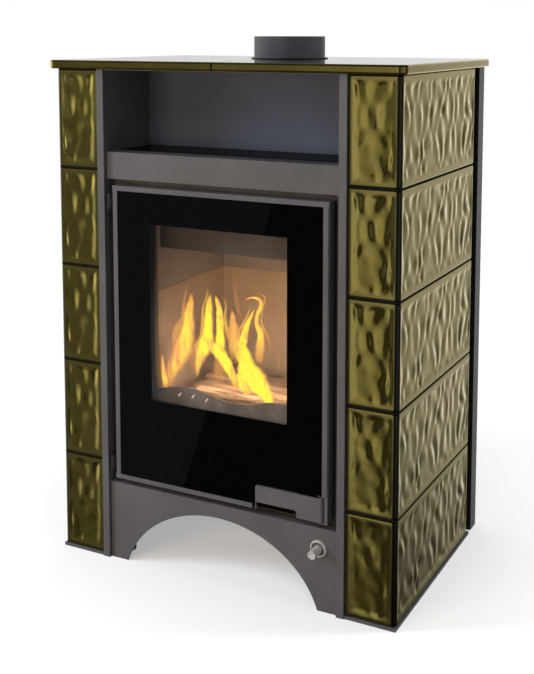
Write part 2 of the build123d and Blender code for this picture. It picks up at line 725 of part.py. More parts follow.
def lining_rear():
    """Boards behind the fire."""
    x = LINING_HALF - FIT
    return lining_boards(-x, x, LINING_BACK, DUCT_Y)


def rear_air_duct():
    """Folded duct that warms the air behind the rear lining."""
    x = LINING_HALF - FIT
    y0 = DUCT_Y
    y1 = REAR_PLATE_Y - FIT
    duct = block(-x, x, y0, y1, HEARTH_TOP, LINING_TOP)
    return duct - block(FOLD - x, x - FOLD, y0 + FOLD, y1, HEARTH_TOP, LINING_TOP - FOLD)


def baffle():
    """Board that turns the smoke towards the front."""
    x = SHELL_HALF - FIT
    return block(-x, x, BAFFLE_FRONT, REAR_PLATE_Y - FIT, LINING_TOP, LINING_TOP + BAFFLE_THICK)


def air_deflector():
    """Hanging plate that sends the air down behind the glass."""
    x = LINING_HALF - FIT
    wall = block(-x, x, DEFLECTOR_Y - FOLD, DEFLECTOR_Y, DEFLECTOR_LOW, FIREBOX_CEILING)
    lip_y = DEFLECTOR_Y + DEFLECTOR_LIP
    lip = block(-x, x, DEFLECTOR_Y, lip_y, DEFLECTOR_LOW, DEFLECTOR_LOW + FOLD)
    return wall + lip


def guard_edge(x, mean, wave):
    """Height of a wavy line across the log guard."""
    return HEARTH_TOP + mean - wave * cos(2 * pi * (x - GUARD_TROUGH) / GUARD_WAVELENGTH)


def log_guard():
    """Cast guard with a wavy top edge and leaning slots."""
    steps = 24
    wave = []
    for step in range(steps + 1):
        x = -GUARD_HALF + 2 * GUARD_HALF * step / steps
        wave.append((x, guard_edge(x, GUARD_RISE, GUARD_WAVE)))
    top = Spline(*wave)
    sides = Polyline(wave[-1], (GUARD_HALF, HEARTH_TOP), (-GUARD_HALF, HEARTH_TOP), wave[0])
    plane = Plane((0, GUARD_Y + PLATE, 0), x_dir=(1, 0, 0), z_dir=(0, -1, 0))
    guard = extrude(plane * make_face(Wire([top, *sides.edges()])), PLATE)
    slots = []
    for index in range(SLOT_COUNT):
        x = (index - (SLOT_COUNT - 1) / 2) * SLOT_PITCH
        z = guard_edge(x, SLOT_RISE, GUARD_WAVE / 2)
        lean = -SLOT_LEAN if index < SLOTS_TO_RIGHT else SLOT_LEAN
        place = Pos(x, GUARD_Y + PLATE / 2, z)
        slots.append(place * Rot(0, lean, 0) * Box(SLOT_LONG, 2 * PLATE, SLOT_WIDE))
    return guard - slots


# ---- door ----
def door_frame():
    """Welded door frame with its window, gasket channel, knuckles and handle pocket."""
    frame = block(-DOOR_HALF, DOOR_HALF, GLASS_Y, DOOR_BACK, DOOR_LOW, DOOR_HIGH)
    inner = DOOR_HALF - FRAME_WALL
    low = DOOR_LOW + FRAME_WALL
    high = DOOR_HIGH - FRAME_WALL
    frame -= block(-inner, inner, GLASS_Y, FRAME_FACE, low, high)
    frame -= block(-inner, inner, FRAME_REAR, DOOR_BACK, low, high)
    frame -= block(-WINDOW_HALF, WINDOW_HALF, FRAME_FACE, FRAME_REAR, WINDOW_LOW, WINDOW_HIGH)
    rib_y = DOOR_BACK - FOLD
    wide = GASKET_HALF + FIT + FOLD
    outer = ring(wide, GASKET_LOW - FIT - FOLD, GASKET_HIGH + FIT + FOLD, FOLD, FRAME_REAR, rib_y)
    thin = GASKET + FIT
    inset = GASKET_HALF - thin
    inner_rib = ring(inset, GASKET_LOW + thin, GASKET_HIGH - thin, FOLD, FRAME_REAR, rib_y)
    frame = frame + outer + inner_rib
    frame = handle_pocket(frame)
    frame -= post(HANDLE_AXIS_X, HANDLE_AXIS_Y, PIN_LOW, PIN_HIGH, HANDLE_PIN)
    for level in HINGE_LEVELS:
        frame += knuckle(level)
    return frame


def handle_pocket(frame):
    """The open pocket for the handle in the lower corner of the door, with its pin lugs."""
    wall = FRAME_WALL
    frame += block(
        POCKET_LEFT - wall, DOOR_HALF, FRAME_FACE, DOOR_BACK, DOOR_LOW, POCKET_HIGH + wall
    )
    frame += block(POCKET_RIGHT, DOOR_HALF, TRIM_Y, DOOR_BACK, DOOR_LOW, POCKET_HIGH)
    frame -= block(
        POCKET_LEFT, POCKET_RIGHT, TRIM_Y, DOOR_BACK - wall, DOOR_LOW, POCKET_HIGH
    )
    lug_x = HANDLE_AXIS_X - BARREL
    lug_high = HANDLE_LOW - 2 * FIT
    frame += block(lug_x, DOOR_HALF, HANDLE_Y + FOLD, DOOR_BACK, PIN_LOW, lug_high)
    frame += block(lug_x, TRIM_X - FIT, TRIM_Y, FRAME_FACE, POCKET_HIGH, PIN_HIGH)
    frame += block(TRIM_X - FIT, DOOR_HALF, GLASS_Y + FIT, FRAME_FACE, POCKET_HIGH, PIN_HIGH)
    return frame - latch_slot()


def latch_slot():
    """Slot in the pocket wall for the latch arm, wide enough for its swing."""
    swing = LATCH_NOSE + LATCH_ARM + LATCH_SWING
    return block(
        HANDLE_AXIS_X - swing, POCKET_RIGHT, DOOR_BACK - FRAME_WALL, DOOR_BACK,
        HANDLE_LOW + BARREL, HANDLE_HIGH - BARREL,
    )


def knuckle(level):
    """Hinge knuckle with its leaf, above a bracket at this level."""
    low = level + FIT
    high = low + KNUCKLE_LONG
    barrel = post(HINGE_X, PIN_Y, low, high, KNUCKLE)
    leaf = block(HINGE_X, FRAME_WALL - DOOR_HALF, PIN_Y, PIN_Y + KNUCKLE_LEAF, low, high)
    return barrel + leaf - post(HINGE_X, PIN_Y, low, high, PIN_RADIUS + RUN)


def door_glass():
    """Ceramic glass, notched for the handle."""
    inner = DOOR_HALF - FRAME_WALL - FIT
    low = DOOR_LOW + FRAME_WALL + FIT
    glass = block(-inner, inner, GLASS_Y, GLASS_BACK, low, DOOR_HIGH - FRAME_WALL - FIT)
    notch = block(
        POCKET_LEFT - FRAME_WALL - FIT, DOOR_HALF, GLASS_Y, GLASS_BACK,
        DOOR_LOW, POCKET_HIGH + FRAME_WALL + 2 * FIT,
    )
    return glass - notch


def glass_seal():
    """Flat tape between the glass and its frame, round the window."""
    width = GASKET - FOLD
    half = WINDOW_HALF + width
    return ring(half, WINDOW_LOW - width, WINDOW_HIGH + width, width, GLASS_BACK, FRAME_FACE)


def door_trim():
    """Trim strips along the edges of the glass."""
    top = block(
        -DOOR_HALF, DOOR_HALF, TRIM_Y, GLASS_Y, DOOR_HIGH - TRIM_WIDTH, DOOR_HIGH
    )
    x0 = TRIM_X
    x1 = x0 + TRIM_WIDTH
    left = block(-x1, -x0, TRIM_Y, GLASS_Y, DOOR_LOW, DOOR_HIGH)
    right = block(x0, x1, TRIM_Y, GLASS_Y, POCKET_HIGH, DOOR_HIGH)
    foot = block(
        -DOOR_HALF, POCKET_LEFT - TRIM_INSET, TRIM_Y, GLASS_Y, DOOR_LOW, DOOR_LOW + TRIM_FOOT
    )
    return top + left + right + foot


def door_gasket():
    """Rope gasket that closes on the front plate."""
    rope = ring(GASKET_HALF, GASKET_LOW, GASKET_HIGH, GASKET, FRAME_REAR, FRONT_PLATE_Y - FIT)
    nose = rope.edges().group_by(Axis.Y)[-1]
    return fillet(nose, GASKET / 4)


def hinge_bracket(level):
    """Bracket from the front plate to the hinge pin, under a knuckle."""
    low = level - BRACKET_THICK
    arm = block(HINGE_X - KNUCKLE, HINGE_X + KNUCKLE, PIN_Y, FRONT_PLATE_Y, low, level)
    return arm + post(HINGE_X, PIN_Y, low, level, KNUCKLE)


def latch_catch():
    """Catch behind which the nose of the latch closes."""
    x0 = HANDLE_AXIS_X + LATCH_ARM / 2 + CATCH_GAP
    low = HANDLE_LOW + BARREL
    high = HANDLE_HIGH - BARREL
    y0 = DOOR_BACK + 2 * FIT
    lip = block(x0, x0 + LATCH_NOSE + FOLD, y0, y0 + FOLD, low, high)
    wall = block(x0 + LATCH_NOSE, x0 + LATCH_NOSE + FOLD, y0, FRONT_PLATE_Y, low, high)
    return lip + wall


def front_brackets():
    """Both hinge brackets and the catch, fixed to the front plate."""
    pins = [
        post(HINGE_X, PIN_Y, level - BRACKET_THICK, level, PIN_RADIUS) for level in HINGE_LEVELS
    ]
    brackets = [hinge_bracket(level) - pins for level in HINGE_LEVELS]
    return [*brackets, latch_catch()]


def hinge_pins():
    """Two pins that stand in the brackets."""
    pins = []
    for level in HINGE_LEVELS:
        pin = post(HINGE_X, PIN_Y, level - BRACKET_THICK, level + KNUCKLE_LONG, PIN_RADIUS)
        pins.append(chamfer(pin.edges().group_by(Axis.Z)[-1], PIN_RADIUS / 4))
    return pins


# ---- handle ----
def handle():
    """Folded handle plate with finger cut-out, barrel and latch arm."""
    y1 = HANDLE_Y + HANDLE_PLATE
    plate = block(HANDLE_LEFT, HANDLE_AXIS_X, HANDLE_Y, y1, HANDLE_LOW, HANDLE_HIGH)
    cut_x = HANDLE_LEFT + CUTOUT_WIDTH
    cut = block(
        HANDLE_LEFT + FOLD, cut_x, HANDLE_Y, y1, HANDLE_LOW, HANDLE_LOW + CUTOUT_HEIGHT
    )
    corner = cut.edges().filter_by(Axis.Y).sort_by_distance((cut_x, y1, HANDLE_HIGH))[0]
    plate -= fillet(corner, CUTOUT_ROUND)
    back = HANDLE_Y + HANDLE_RETURN
    cheek = block(HANDLE_LEFT, HANDLE_LEFT + FOLD, y1, back, HANDLE_LOW, HANDLE_HIGH)
    shelf = block(HANDLE_LEFT, cut_x, y1, back, HANDLE_HIGH - FOLD, HANDLE_HIGH)
    folded = plate + cheek + shelf
    bend = folded.edges().filter_by(Axis.Y).sort_by_distance((HANDLE_LEFT, y1, HANDLE_HIGH))[0]
    folded = fillet(bend, HANDLE_CORNER)
    barrel = post(HANDLE_AXIS_X, HANDLE_AXIS_Y, HANDLE_LOW, HANDLE_HIGH, BARREL)
    body = folded + barrel + latch_arm()
    return body - post(HANDLE_AXIS_X, HANDLE_AXIS_Y, HANDLE_LOW, HANDLE_HIGH, HANDLE_PIN + RUN)


def latch_arm():
    """Arm from the handle barrel through the door to its nose."""
    low = HANDLE_LOW + BARREL + FOLD
    high = HANDLE_HIGH - BARREL - FOLD
    half = LATCH_ARM / 2
    nose_y = DOOR_BACK + 2 * FIT + FOLD + FIT
    end_y = FRONT_PLATE_Y - FOLD
    x = HANDLE_AXIS_X
    arm = block(x - half, x + half, HANDLE_AXIS_Y, end_y, low, high)
    return arm + block(x - half, x + half + LATCH_NOSE - FOLD, nose_y, end_y, low, high)


def handle_pin():
    """Pin on which the handle turns, held in the door frame."""
    return post(HANDLE_AXIS_X, HANDLE_AXIS_Y, PIN_LOW, PIN_HIGH, HANDLE_PIN)


# ---- air supply ----
def air_rosette():
    """Bevelled rosette that guides the air knob."""
    y0 = ARCH_Y - ROSETTE_THICK
    place = Pos(AIR_X, (y0 + ARCH_Y) / 2, AIR_Z) * Rot(90, 0, 0)
    cone = place * Cone(ROSETTE_RADIUS, ROSETTE_TOP, ROSETTE_THICK)
    return cone - bar_y(AIR_X, AIR_Z, y0, ARCH_Y, KNOB_RADIUS + SLIDE_FIT)


def air_knob():
    """Round knob on the end of the air rod."""
    knob = bar_y(AIR_X, AIR_Z, KNOB_FRONT, ARCH_Y + KNOB_IN + AIR_TRAVEL, KNOB_RADIUS)
    return chamfer(knob.edges().group_by(Axis.Y)[0], 1)


def air_shutter():
    """Rod with the shutter plate that opens and closes the air port."""
    rod_y0 = ARCH_Y + KNOB_IN + AIR_TRAVEL
    half_x = PORT_WIDE / 2 + SHUTTER_LAP
    half_y = PORT_LONG / 2 + SHUTTER_LAP
    z1 = BASE_PLATE_Z - FIT
    z0 = z1 - SHUTTER_THICK
    rod = bar_y(AIR_X, AIR_Z, rod_y0, PORT_Y, ROD_RADIUS)
    plate = block(INLET_X - half_x, INLET_X + half_x, PORT_Y - half_y, PORT_Y + half_y, z0, z1)
    lug = block(
        AIR_X - ROD_RADIUS, AIR_X + ROD_RADIUS, PORT_Y - ROD_RADIUS, PORT_Y + ROD_RADIUS,
        AIR_Z, z1,
    )
    return rod + plate + lug


def air_box():
    """Box under the base plate with its rear air inlet."""
    z0 = BASE_PLATE_Z - BOX_DEPTH
    box = block(BOX_LEFT, BOX_RIGHT, BOX_FRONT, BOX_BACK, z0, BASE_PLATE_Z)
    box -= block(
        BOX_LEFT + FOLD, BOX_RIGHT - FOLD, BOX_FRONT + FOLD, BOX_BACK - FOLD,
        z0 + FOLD, BASE_PLATE_Z,
    )
    box -= bar_y(AIR_X, AIR_Z, BOX_FRONT, BOX_FRONT + FOLD, ROD_RADIUS + SLIDE_FIT)
    box += bar_y(INLET_X, INLET_Z, BOX_BACK, SLAB_REAR, INLET_RADIUS)
    return box - bar_y(INLET_X, INLET_Z, BOX_BACK - FOLD, SLAB_REAR, INLET_RADIUS - COVER)


# ---- write every node ----
def save_pair(name, shape):
    """Save the right piece and its mirror image."""
    save(f"right_{name}", shape)
    save(f"left_{name}", mirrored(shape))


for course in range(TILE_COURSES):
    save_pair(f"tile_{course + 1}", corner_tile(course))
seals = tile_seals()
save("tile_seals", *seals, *[mirrored(strip) for strip in seals])
save_pair("base_tray", base_tray())
save_pair("front_post", front_post())
save_pair("rear_post", rear_post())
save_pair("side_panel", side_panel())
save("levelling_feet", *levelling_feet())
save("back_panel", back_panel())
save("top_plate", top_plate())
save_pair("top_slab", top_slab())
save("flue_pipe", flue_pipe())
save("flue_ring", flue_ring())
save("shelf_rail", shelf_rail())
save("niche_liner", niche_liner())
save("shelf_slab", shelf_slab())
save("arch_panel", arch_panel())
save("base_plate", base_plate())
save("firebox_front", firebox_front())
save_pair("firebox_side", firebox_side())
save("firebox_rear", firebox_rear())
save("firebox_floor", firebox_floor())
save("firebox_top", firebox_top())
save("hearth_plate", hearth_plate())
save("grate", grate())
save("ash_pan", *ash_pan())
lining = lining_side()
save("right_lining", *lining)
save("left_lining", *[mirrored(board) for board in lining])
save("rear_lining", *lining_rear())
save("rear_air_duct", rear_air_duct())
save("baffle", baffle())
save("air_deflector", air_deflector())
save("log_guard", log_guard())
save("door_frame", door_frame())
save("door_glass", door_glass())
save("glass_seal", glass_seal())
save("door_trim", door_trim())
save("door_gasket", door_gasket())
save("front_brackets", *front_brackets())
save("hinge_pins", *hinge_pins())
save("handle", handle())
save("handle_pin", handle_pin())
save("air_rosette", air_rosette())
save("air_knob", air_knob())
save("air_shutter", air_shutter())
save("air_box", air_box())
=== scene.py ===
import bpy
import json
from math import copysign, cos, pi, radians, sin, sqrt
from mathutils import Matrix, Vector, noise


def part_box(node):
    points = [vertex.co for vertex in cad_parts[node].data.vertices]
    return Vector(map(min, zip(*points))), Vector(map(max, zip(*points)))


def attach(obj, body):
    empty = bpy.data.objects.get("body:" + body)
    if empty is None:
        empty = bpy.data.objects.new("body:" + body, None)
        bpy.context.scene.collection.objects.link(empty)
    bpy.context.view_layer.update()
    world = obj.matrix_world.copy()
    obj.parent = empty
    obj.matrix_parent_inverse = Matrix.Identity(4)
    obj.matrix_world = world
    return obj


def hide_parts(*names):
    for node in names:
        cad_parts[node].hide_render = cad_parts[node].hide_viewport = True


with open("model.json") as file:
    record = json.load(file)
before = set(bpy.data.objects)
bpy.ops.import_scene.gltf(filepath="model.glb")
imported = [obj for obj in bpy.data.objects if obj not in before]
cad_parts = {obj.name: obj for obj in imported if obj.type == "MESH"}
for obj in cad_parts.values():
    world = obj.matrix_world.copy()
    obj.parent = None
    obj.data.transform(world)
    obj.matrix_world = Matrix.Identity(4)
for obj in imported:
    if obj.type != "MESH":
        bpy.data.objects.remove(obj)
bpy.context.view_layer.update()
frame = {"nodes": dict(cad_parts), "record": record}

# A tiled wood stove in metres: X to the right, Y from the door to the back, Z up.
MM = 0.001
NODES = frame["nodes"]
WELD = 0.01 * MM                # points nearer than this are merged
UPRIGHT = (pi / 2, 0, 0)        # turns what lies flat up to face the front
FRONT_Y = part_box("right_tile_1")[0].y
GRATE_LOW, GRATE_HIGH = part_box("grate")
HEARTH_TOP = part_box("hearth_plate")[1].z
SHADE_LEVEL = 0.5555             # joint between the two courses of the lining, with painted shade above it
JOINT_SHADE_HALF = 2.1 * MM           # half width of the painted shade along the joint of the top slabs

# ---- camera: solved from the edges of the posts, the tiles and the top ----
CAMERA_PLACE = (1.02989, -2.00514, 1.07847)
CAMERA_PITCH = 6.0312
CAMERA_YAW = 27.4678
CAMERA_LENS = 58.486
CAMERA_SHIFT = -0.28074
CAMERA_SENSOR = 36


# ---------------------------------------------------------------- modelling
def leave_edit():
    """Back to object mode."""
    bpy.ops.object.mode_set(mode="OBJECT")


def clear_selection():
    """Object mode with nothing selected."""
    if bpy.context.object and bpy.context.object.mode != "OBJECT":
        leave_edit()
    bpy.ops.object.select_all(action="DESELECT")


def pick(piece):
    """Make one piece the only selected and active one."""
    clear_selection()
    piece.select_set(True)
    bpy.context.view_layer.objects.active = piece


def own_object(name, mesh):
    """A new object in the scene for a mesh."""
    piece = bpy.data.objects.new(name, mesh)
    bpy.context.scene.collection.objects.link(piece)
    return piece


def apply_place(piece):
    """Put the place, turn and size of a piece into its mesh."""
    pick(piece)
    bpy.ops.object.transform_apply(location=True, rotation=True, scale=True)


def primitive(name, add, stretch=None, **start):
    """Add a primitive with nothing else selected, name it and stretch it to its size."""
    clear_selection()
    add(**start)
    piece = bpy.context.object
    piece.name = name
    piece.data.name = name
    if stretch:
        piece.scale = stretch
        apply_place(piece)
    return piece


def edit(piece, mode="VERT", select="DESELECT"):
    """Edit mode with nothing selected, or with the whole mesh."""
    pick(piece)
    bpy.ops.object.mode_set(mode="EDIT")
    bpy.ops.mesh.select_mode(type=mode)
    bpy.ops.mesh.select_all(action=select)


def edit_faces(piece, test):
    """Edit mode with the faces selected whose centre and normal pass the test."""
    edit(piece, "FACE")
    leave_edit()
    for face in piece.data.polygons:
        face.select = test(face.center, face.normal)
    bpy.ops.object.mode_set(mode="EDIT")


def tidy_mesh(piece):
    """Merge doubles and turn the normals outwards."""
    edit(piece, select="SELECT")
    bpy.ops.mesh.remove_doubles(threshold=WELD)
    bpy.ops.mesh.normals_make_consistent(inside=False)
    leave_edit()


def write_attributes(piece, **columns):
    """Store values of the vertices under their names, for the material to read."""
    for label, values in columns.items():
        layer = piece.data.attributes.new(label, "FLOAT", "POINT")
        layer.data.foreach_set("value", values)


def modified(piece, kind, **settings):
    """Add a modifier with its settings and apply it."""
    pick(piece)
    bpy.ops.object.modifier_add(type=kind)
    modifier = piece.modifiers[-1]
    for setting, value in settings.items():
        setattr(modifier, setting, value)
    bpy.ops.object.modifier_apply(modifier=modifier.name)
    return piece


def bevelled(piece, width, segments=2, angle=30):
    """Round the edges of a piece."""
    return modified(
        piece, "BEVEL", width=width, segments=segments, limit_method="ANGLE",
        angle_limit=radians(angle), use_clamp_overlap=True,
    )


def finish(piece, body, material, smooth=35):
    """Give a piece its finish and the body that it rides on."""
    apply_place(piece)
    bpy.ops.object.shade_smooth_by_angle(angle=radians(smooth))
    piece.data.materials.clear()
    piece.data.materials.append(material)
    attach(piece, body)


def node_copy(node):
    """A merged copy of a CAD node, ready to be shaped further."""
    piece = own_object(f"{node}_finished", NODES[node].data.copy())
    pick(piece)
    bpy.ops.mesh.customdata_custom_splitnormals_clear()
    edit(piece, select="SELECT")
    bpy.ops.mesh.remove_doubles(threshold=WELD)
    bpy.ops.mesh.dissolve_limited(angle_limit=radians(0.5))
    leave_edit()
    return piece


def softened(node, body, material, width=0.5 * MM, segments=2, smooth=35, shape=None):
    """A CAD node, shaped if asked, with its edges broken, which stands for the node."""
    piece = node_copy(node)
    if shape:
        shape(piece)
    bevelled(piece, width, segments)
    finish(piece, body, material, smooth)
    modified(piece, "WEIGHTED_NORMAL", keep_sharp=True)
    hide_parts(node)
    return piece


def rounded_block(name, low, high, width, segments=3):
    """A block between two corners with rounded edges."""
    low = Vector(low)
    high = Vector(high)
    piece = primitive(
        name, bpy.ops.mesh.primitive_cube_add, high - low, size=1, location=(low + high) / 2
    )
    return bevelled(piece, width, segments)


def repeat(piece, name, shift, mirror_x):
    """A copy of a piece with its own mesh, moved and perhaps mirrored."""
    copy = own_object(name, piece.data.copy())
    copy.location = shift
    if mirror_x:
        copy.scale.x = -1
    apply_place(copy)
    if mirror_x:
        edit(copy, select="SELECT")
        bpy.ops.mesh.normals_make_consistent(inside=False)
        leave_edit()
    return copy


# ---------------------------------------------------------------- materials
class Pattern:
    """Short calls for the nodes of a material or of the world."""

    def __init__(self, tree, output):
        self.tree = tree
        self.output = tree.nodes[output]
        self.place = self.add("ShaderNodeTexCoord")

    def add(self, kind, **values):
        node = self.tree.nodes.new(kind)
        for key, value in values.items():
            setattr(node, key, value)
        return node

    def link(self, source, target):
        self.tree.links.new(source, target)

    def feed(self, value, socket):
        """Give a socket a number, a colour or the output of another node."""
        if isinstance(value, (int, float)):
            socket.default_value = value
        elif isinstance(value, tuple):
            socket.default_value = (*value, 1)
        else:
            self.link(value, socket)

    def axis(self, letter, space="Object"):
        """One coordinate of the place."""
        split = self.add("ShaderNodeSeparateXYZ")
        self.link(self.place.outputs[space], split.inputs[0])
        return split.outputs[letter]

    def ramp(self, factor, *stops):
        """A colour ramp: each stop is (position, colour or grey)."""
        node = self.add("ShaderNodeValToRGB")
        elements = node.color_ramp.elements
        while len(elements) < len(stops):
            elements.new(0.5)
        for element, (position, colour) in zip(elements, stops):
            element.position = position
            grey = isinstance(colour, (int, float))
            element.color = (colour, colour, colour, 1) if grey else (*colour, 1)
        self.link(factor, node.inputs["Fac"])
        return node.outputs["Color"]

    def mix(self, factor, first, second, blend="MIX"):
        """Two colours mixed: the node's sockets 0, 6 and 7 are its factor and its colours."""
        node = self.add("ShaderNodeMix", data_type="RGBA", blend_type=blend)
        for value, socket in ((factor, 0), (first, 6), (second, 7)):
            self.feed(value, node.inputs[socket])
        return node.outputs[2]

    def maths(self, operation, first, second=0.0):
        node = self.add("ShaderNodeMath", operation=operation)
        self.feed(first, node.inputs[0])
        self.feed(second, node.inputs[1])
        return node.outputs[0]

    def by_ray(self, ray, special, usual):
        """The special shader for rays of one kind, and the usual one for all others."""
        mixer = self.add("ShaderNodeMixShader")
        self.link(self.add("ShaderNodeLightPath").outputs[ray], mixer.inputs[0])
        self.link(usual.outputs[0], mixer.inputs[1])
        self.link(special.outputs[0], mixer.inputs[2])
        self.link(mixer.outputs[0], self.output.inputs["Surface"])


class Finish(Pattern):
    """A material with one principled shader and patterns that lie on the piece."""

    def __init__(self, name, colour, roughness, metallic=0.0):
        self.material = bpy.data.materials.new(name)
        self.material.use_nodes = True
        super().__init__(self.material.node_tree, "Material Output")
        self.shader = self.tree.nodes["Principled BSDF"]
        self.give("Base Color", colour)
        self.give("Roughness", roughness)
        self.give("Metallic", metallic)

    def give(self, socket, value):
        """Give a socket of the shader a number, a colour or a pattern."""
        self.feed(value, self.shader.inputs[socket])

    def texture(self, kind, stretch, values, **choices):
        """A texture node on the place, stretched, with its own values."""
        texture = self.add(kind, **choices)
        mapping = self.add("ShaderNodeMapping")
        mapping.inputs["Scale"].default_value = stretch
        self.link(self.place.outputs["Object"], mapping.inputs["Vector"])
        self.link(mapping.outputs["Vector"], texture.inputs["Vector"])
        for socket, value in values.items():
            texture.inputs[socket].default_value = value
        return texture

    def noise(self, scale, detail=2.0, rough=0.5, stretch=(1, 1, 1)):
        values = {"Scale": scale, "Detail": detail, "Roughness": rough}
        return self.texture("ShaderNodeTexNoise", stretch, values).outputs["Fac"]

    def cells(self, scale):
        return self.texture("ShaderNodeTexVoronoi", (1, 1, 1), {"Scale": scale}).outputs["Distance"]

    def diagonal_wave(self, scale, distortion, detail):
        values = {"Scale": scale, "Distortion": distortion, "Detail": detail}
        wave = self.texture("ShaderNodeTexWave", (1, 1, 1), values, bands_direction="DIAGONAL")
        return wave.outputs["Fac"]

    def attribute(self, name):
        return self.add("ShaderNodeAttribute", attribute_name=name).outputs["Fac"]

    def colour(self, pattern, *stops):
        """The base colour: a pattern as it is, or turned into colours by stops."""
        self.give("Base Color", self.ramp(pattern, *stops) if stops else pattern)

    def glow(self, colour, strength):
        self.give("Emission Color", colour)
        self.give("Emission Strength", strength)

    def roughness(self, factor, low, high):
        self.give("Roughness", self.ramp(factor, (0, low), (1, high)))

    def bump(self, height, strength, distance):
        node = self.add("ShaderNodeBump")
        node.inputs["Strength"].default_value = strength
        node.inputs["Distance"].default_value = distance
        self.link(height, node.inputs["Height"])
        self.give("Normal", node.outputs["Normal"])


# near-black colour of painted shade: on the tiles' rims and rounded corner, and along the top
# slabs' joint
PAINTED_SHADE_GLAZE = (0.010, 0.008, 0.002)


def lustre(glaze):
    """Tinted mirror sheen of a metallic glaze."""
    glaze.give("Metallic", 0.97)
    glaze.give("IOR", 1.7)
    glaze.give("Specular Tint", (1.0, 0.96, 0.82))
    glaze.give("Coat Weight", 0.7)
    glaze.give("Coat Roughness", 0.05)


def olive_glaze():
    """Thick lustrous glaze: dark where it pools in the dents, with painted shade on the rims and
    the rounded corner.
    """
    glaze = Finish("olive_glaze", (0.3, 0.25, 0.06), 0.09)
    lustre(glaze)
    pooled = glaze.ramp(
        glaze.attribute("dent_depth"),
        (0.0, (0.37, 0.305, 0.072)),
        (0.5, (0.32, 0.26, 0.044)),
        (1.0, (0.22, 0.18, 0.022)),
    )
    cloud = glaze.noise(28, 3)
    clouded = glaze.mix(glaze.ramp(cloud, (0.4, 0.0), (0.8, 0.3)), pooled, (0.42, 0.37, 0.13))
    specks = glaze.ramp(glaze.cells(420), (0.02, 0.35), (0.10, 0.0))
    speckled = glaze.mix(specks, clouded, (0.10, 0.08, 0.01))
    # painted shade on the rims and round the rounded corner
    glaze.colour(glaze.mix(glaze.attribute("thin_edge"), speckled, PAINTED_SHADE_GLAZE))
    glaze.roughness(cloud, 0.06, 0.13)
    glaze.bump(glaze.noise(70, 2), 0.10, 0.6 * MM)
    return glaze.material


def top_glaze():
    """The same glaze, even on the top slabs, with painted shade along the joint between them."""
    glaze = Finish("olive_top_glaze", (0.3, 0.25, 0.06), 0.08)
    lustre(glaze)
    cloud = glaze.noise(14, 3)
    even = glaze.ramp(cloud, (0.3, (0.25, 0.20, 0.030)), (0.7, (0.31, 0.25, 0.046)))
    # painted shade: near black along the joint
    joint = glaze.maths("LESS_THAN", glaze.maths("ABSOLUTE", glaze.axis("X")), JOINT_SHADE_HALF)
    glaze.colour(glaze.mix(joint, even, PAINTED_SHADE_GLAZE))
    glaze.roughness(cloud, 0.05, 0.11)
    glaze.bump(glaze.noise(18, 2), 0.08, 0.8 * MM)
    return glaze.material


def frame_paint(name, tone=(1, 1, 1), shade_axis="X", shade_below=None):
    """Heat-proof anthracite paint with a fine sandy grain, tinted by a tone, and near black below a
    place on one axis, which is painted shade.
    """
    paint = Finish(name, (0.1, 0.093, 0.090), 0.5)
    patch = paint.noise(9, 4)
    grain = paint.noise(1500, 2)
    dark = tuple(a * b for a, b in zip((0.080, 0.079, 0.083), tone))
    light = tuple(a * b for a, b in zip((0.100, 0.099, 0.104), tone))
    base = paint.ramp(patch, (0.3, dark), (0.7, light))
    painted = paint.mix(0.25, base, paint.ramp(grain, (0.3, 0.05), (0.7, 0.2)), "SOFT_LIGHT")
    if shade_below is not None:
        # painted shade: near black below the given place
        shade_mask = paint.maths("LESS_THAN", paint.axis(shade_axis), shade_below)
        painted = paint.mix(shade_mask, painted, (0.012, 0.011, 0.011))
    paint.colour(painted)
    paint.roughness(patch, 0.42, 0.55)
    paint.bump(grain, 0.25, 0.12 * MM)
    return paint.material


def firebox_steel(name, dark, light):
    """Steel plate with a brown bloom between a dark and a light colour."""
    steel = Finish(name, dark, 0.55, 0.3)
    bloom = steel.noise(12, 5, 0.6)
    steel.colour(bloom, (0.3, dark), (0.7, light))
    steel.roughness(bloom, 0.45, 0.7)
    steel.bump(steel.noise(300, 4), 0.3, 0.3 * MM)
    return steel.material


def cast_iron():
    """Rough cast iron with a thin film of ash, kept much lighter than plain iron: painted light."""
    iron = Finish("cast_iron", (0.1, 0.09, 0.085), 0.6, 0.3)
    film = iron.noise(30, 5, 0.6)
    iron.colour(film, (0.3, (0.190, 0.160, 0.137)), (0.75, (0.350, 0.300, 0.255)))
    iron.roughness(film, 0.5, 0.8)
    iron.bump(iron.noise(520, 3), 0.5, 0.4 * MM)
    return iron.material


def vermiculite():
    """Pressed vermiculite board with flakes and sooty stains, the upper course darker with painted
    shade.
    """
    board = Finish("vermiculite", (0.5, 0.38, 0.26), 0.9)
    flakes = board.cells(260)
    soot_and_shade = board.noise(7, 4, 0.6)
    base = board.ramp(flakes, (0.0, (0.34, 0.25, 0.178)), (0.6, (0.42, 0.315, 0.228)))
    smoky = board.mix(board.ramp(soot_and_shade, (0.45, 0.0), (0.8, 0.35)), base, (0.20, 0.14, 0.10))
    # painted shade: the upper course in two darker colours
    black = board.mix(soot_and_shade, (0.20, 0.175, 0.155), (0.32, 0.275, 0.24))
    board.colour(board.mix(board.maths("GREATER_THAN", board.axis("Z"), SHADE_LEVEL), smoky, black))
    board.bump(flakes, 0.18, 0.6 * MM)
    return board.material


def black_glaze():
    """Near-black glaze of the niche shelf."""
    glaze = Finish("black_glaze", (0.006, 0.006, 0.007), 0.12)
    glaze.give("IOR", 1.25)
    glaze.give("Specular IOR Level", 0.01)
    glaze.colour(glaze.noise(12, 3), (0.3, 0.001), (0.7, 0.004))
    glaze.bump(glaze.noise(40, 2), 0.05, 0.5 * MM)
    return glaze.material


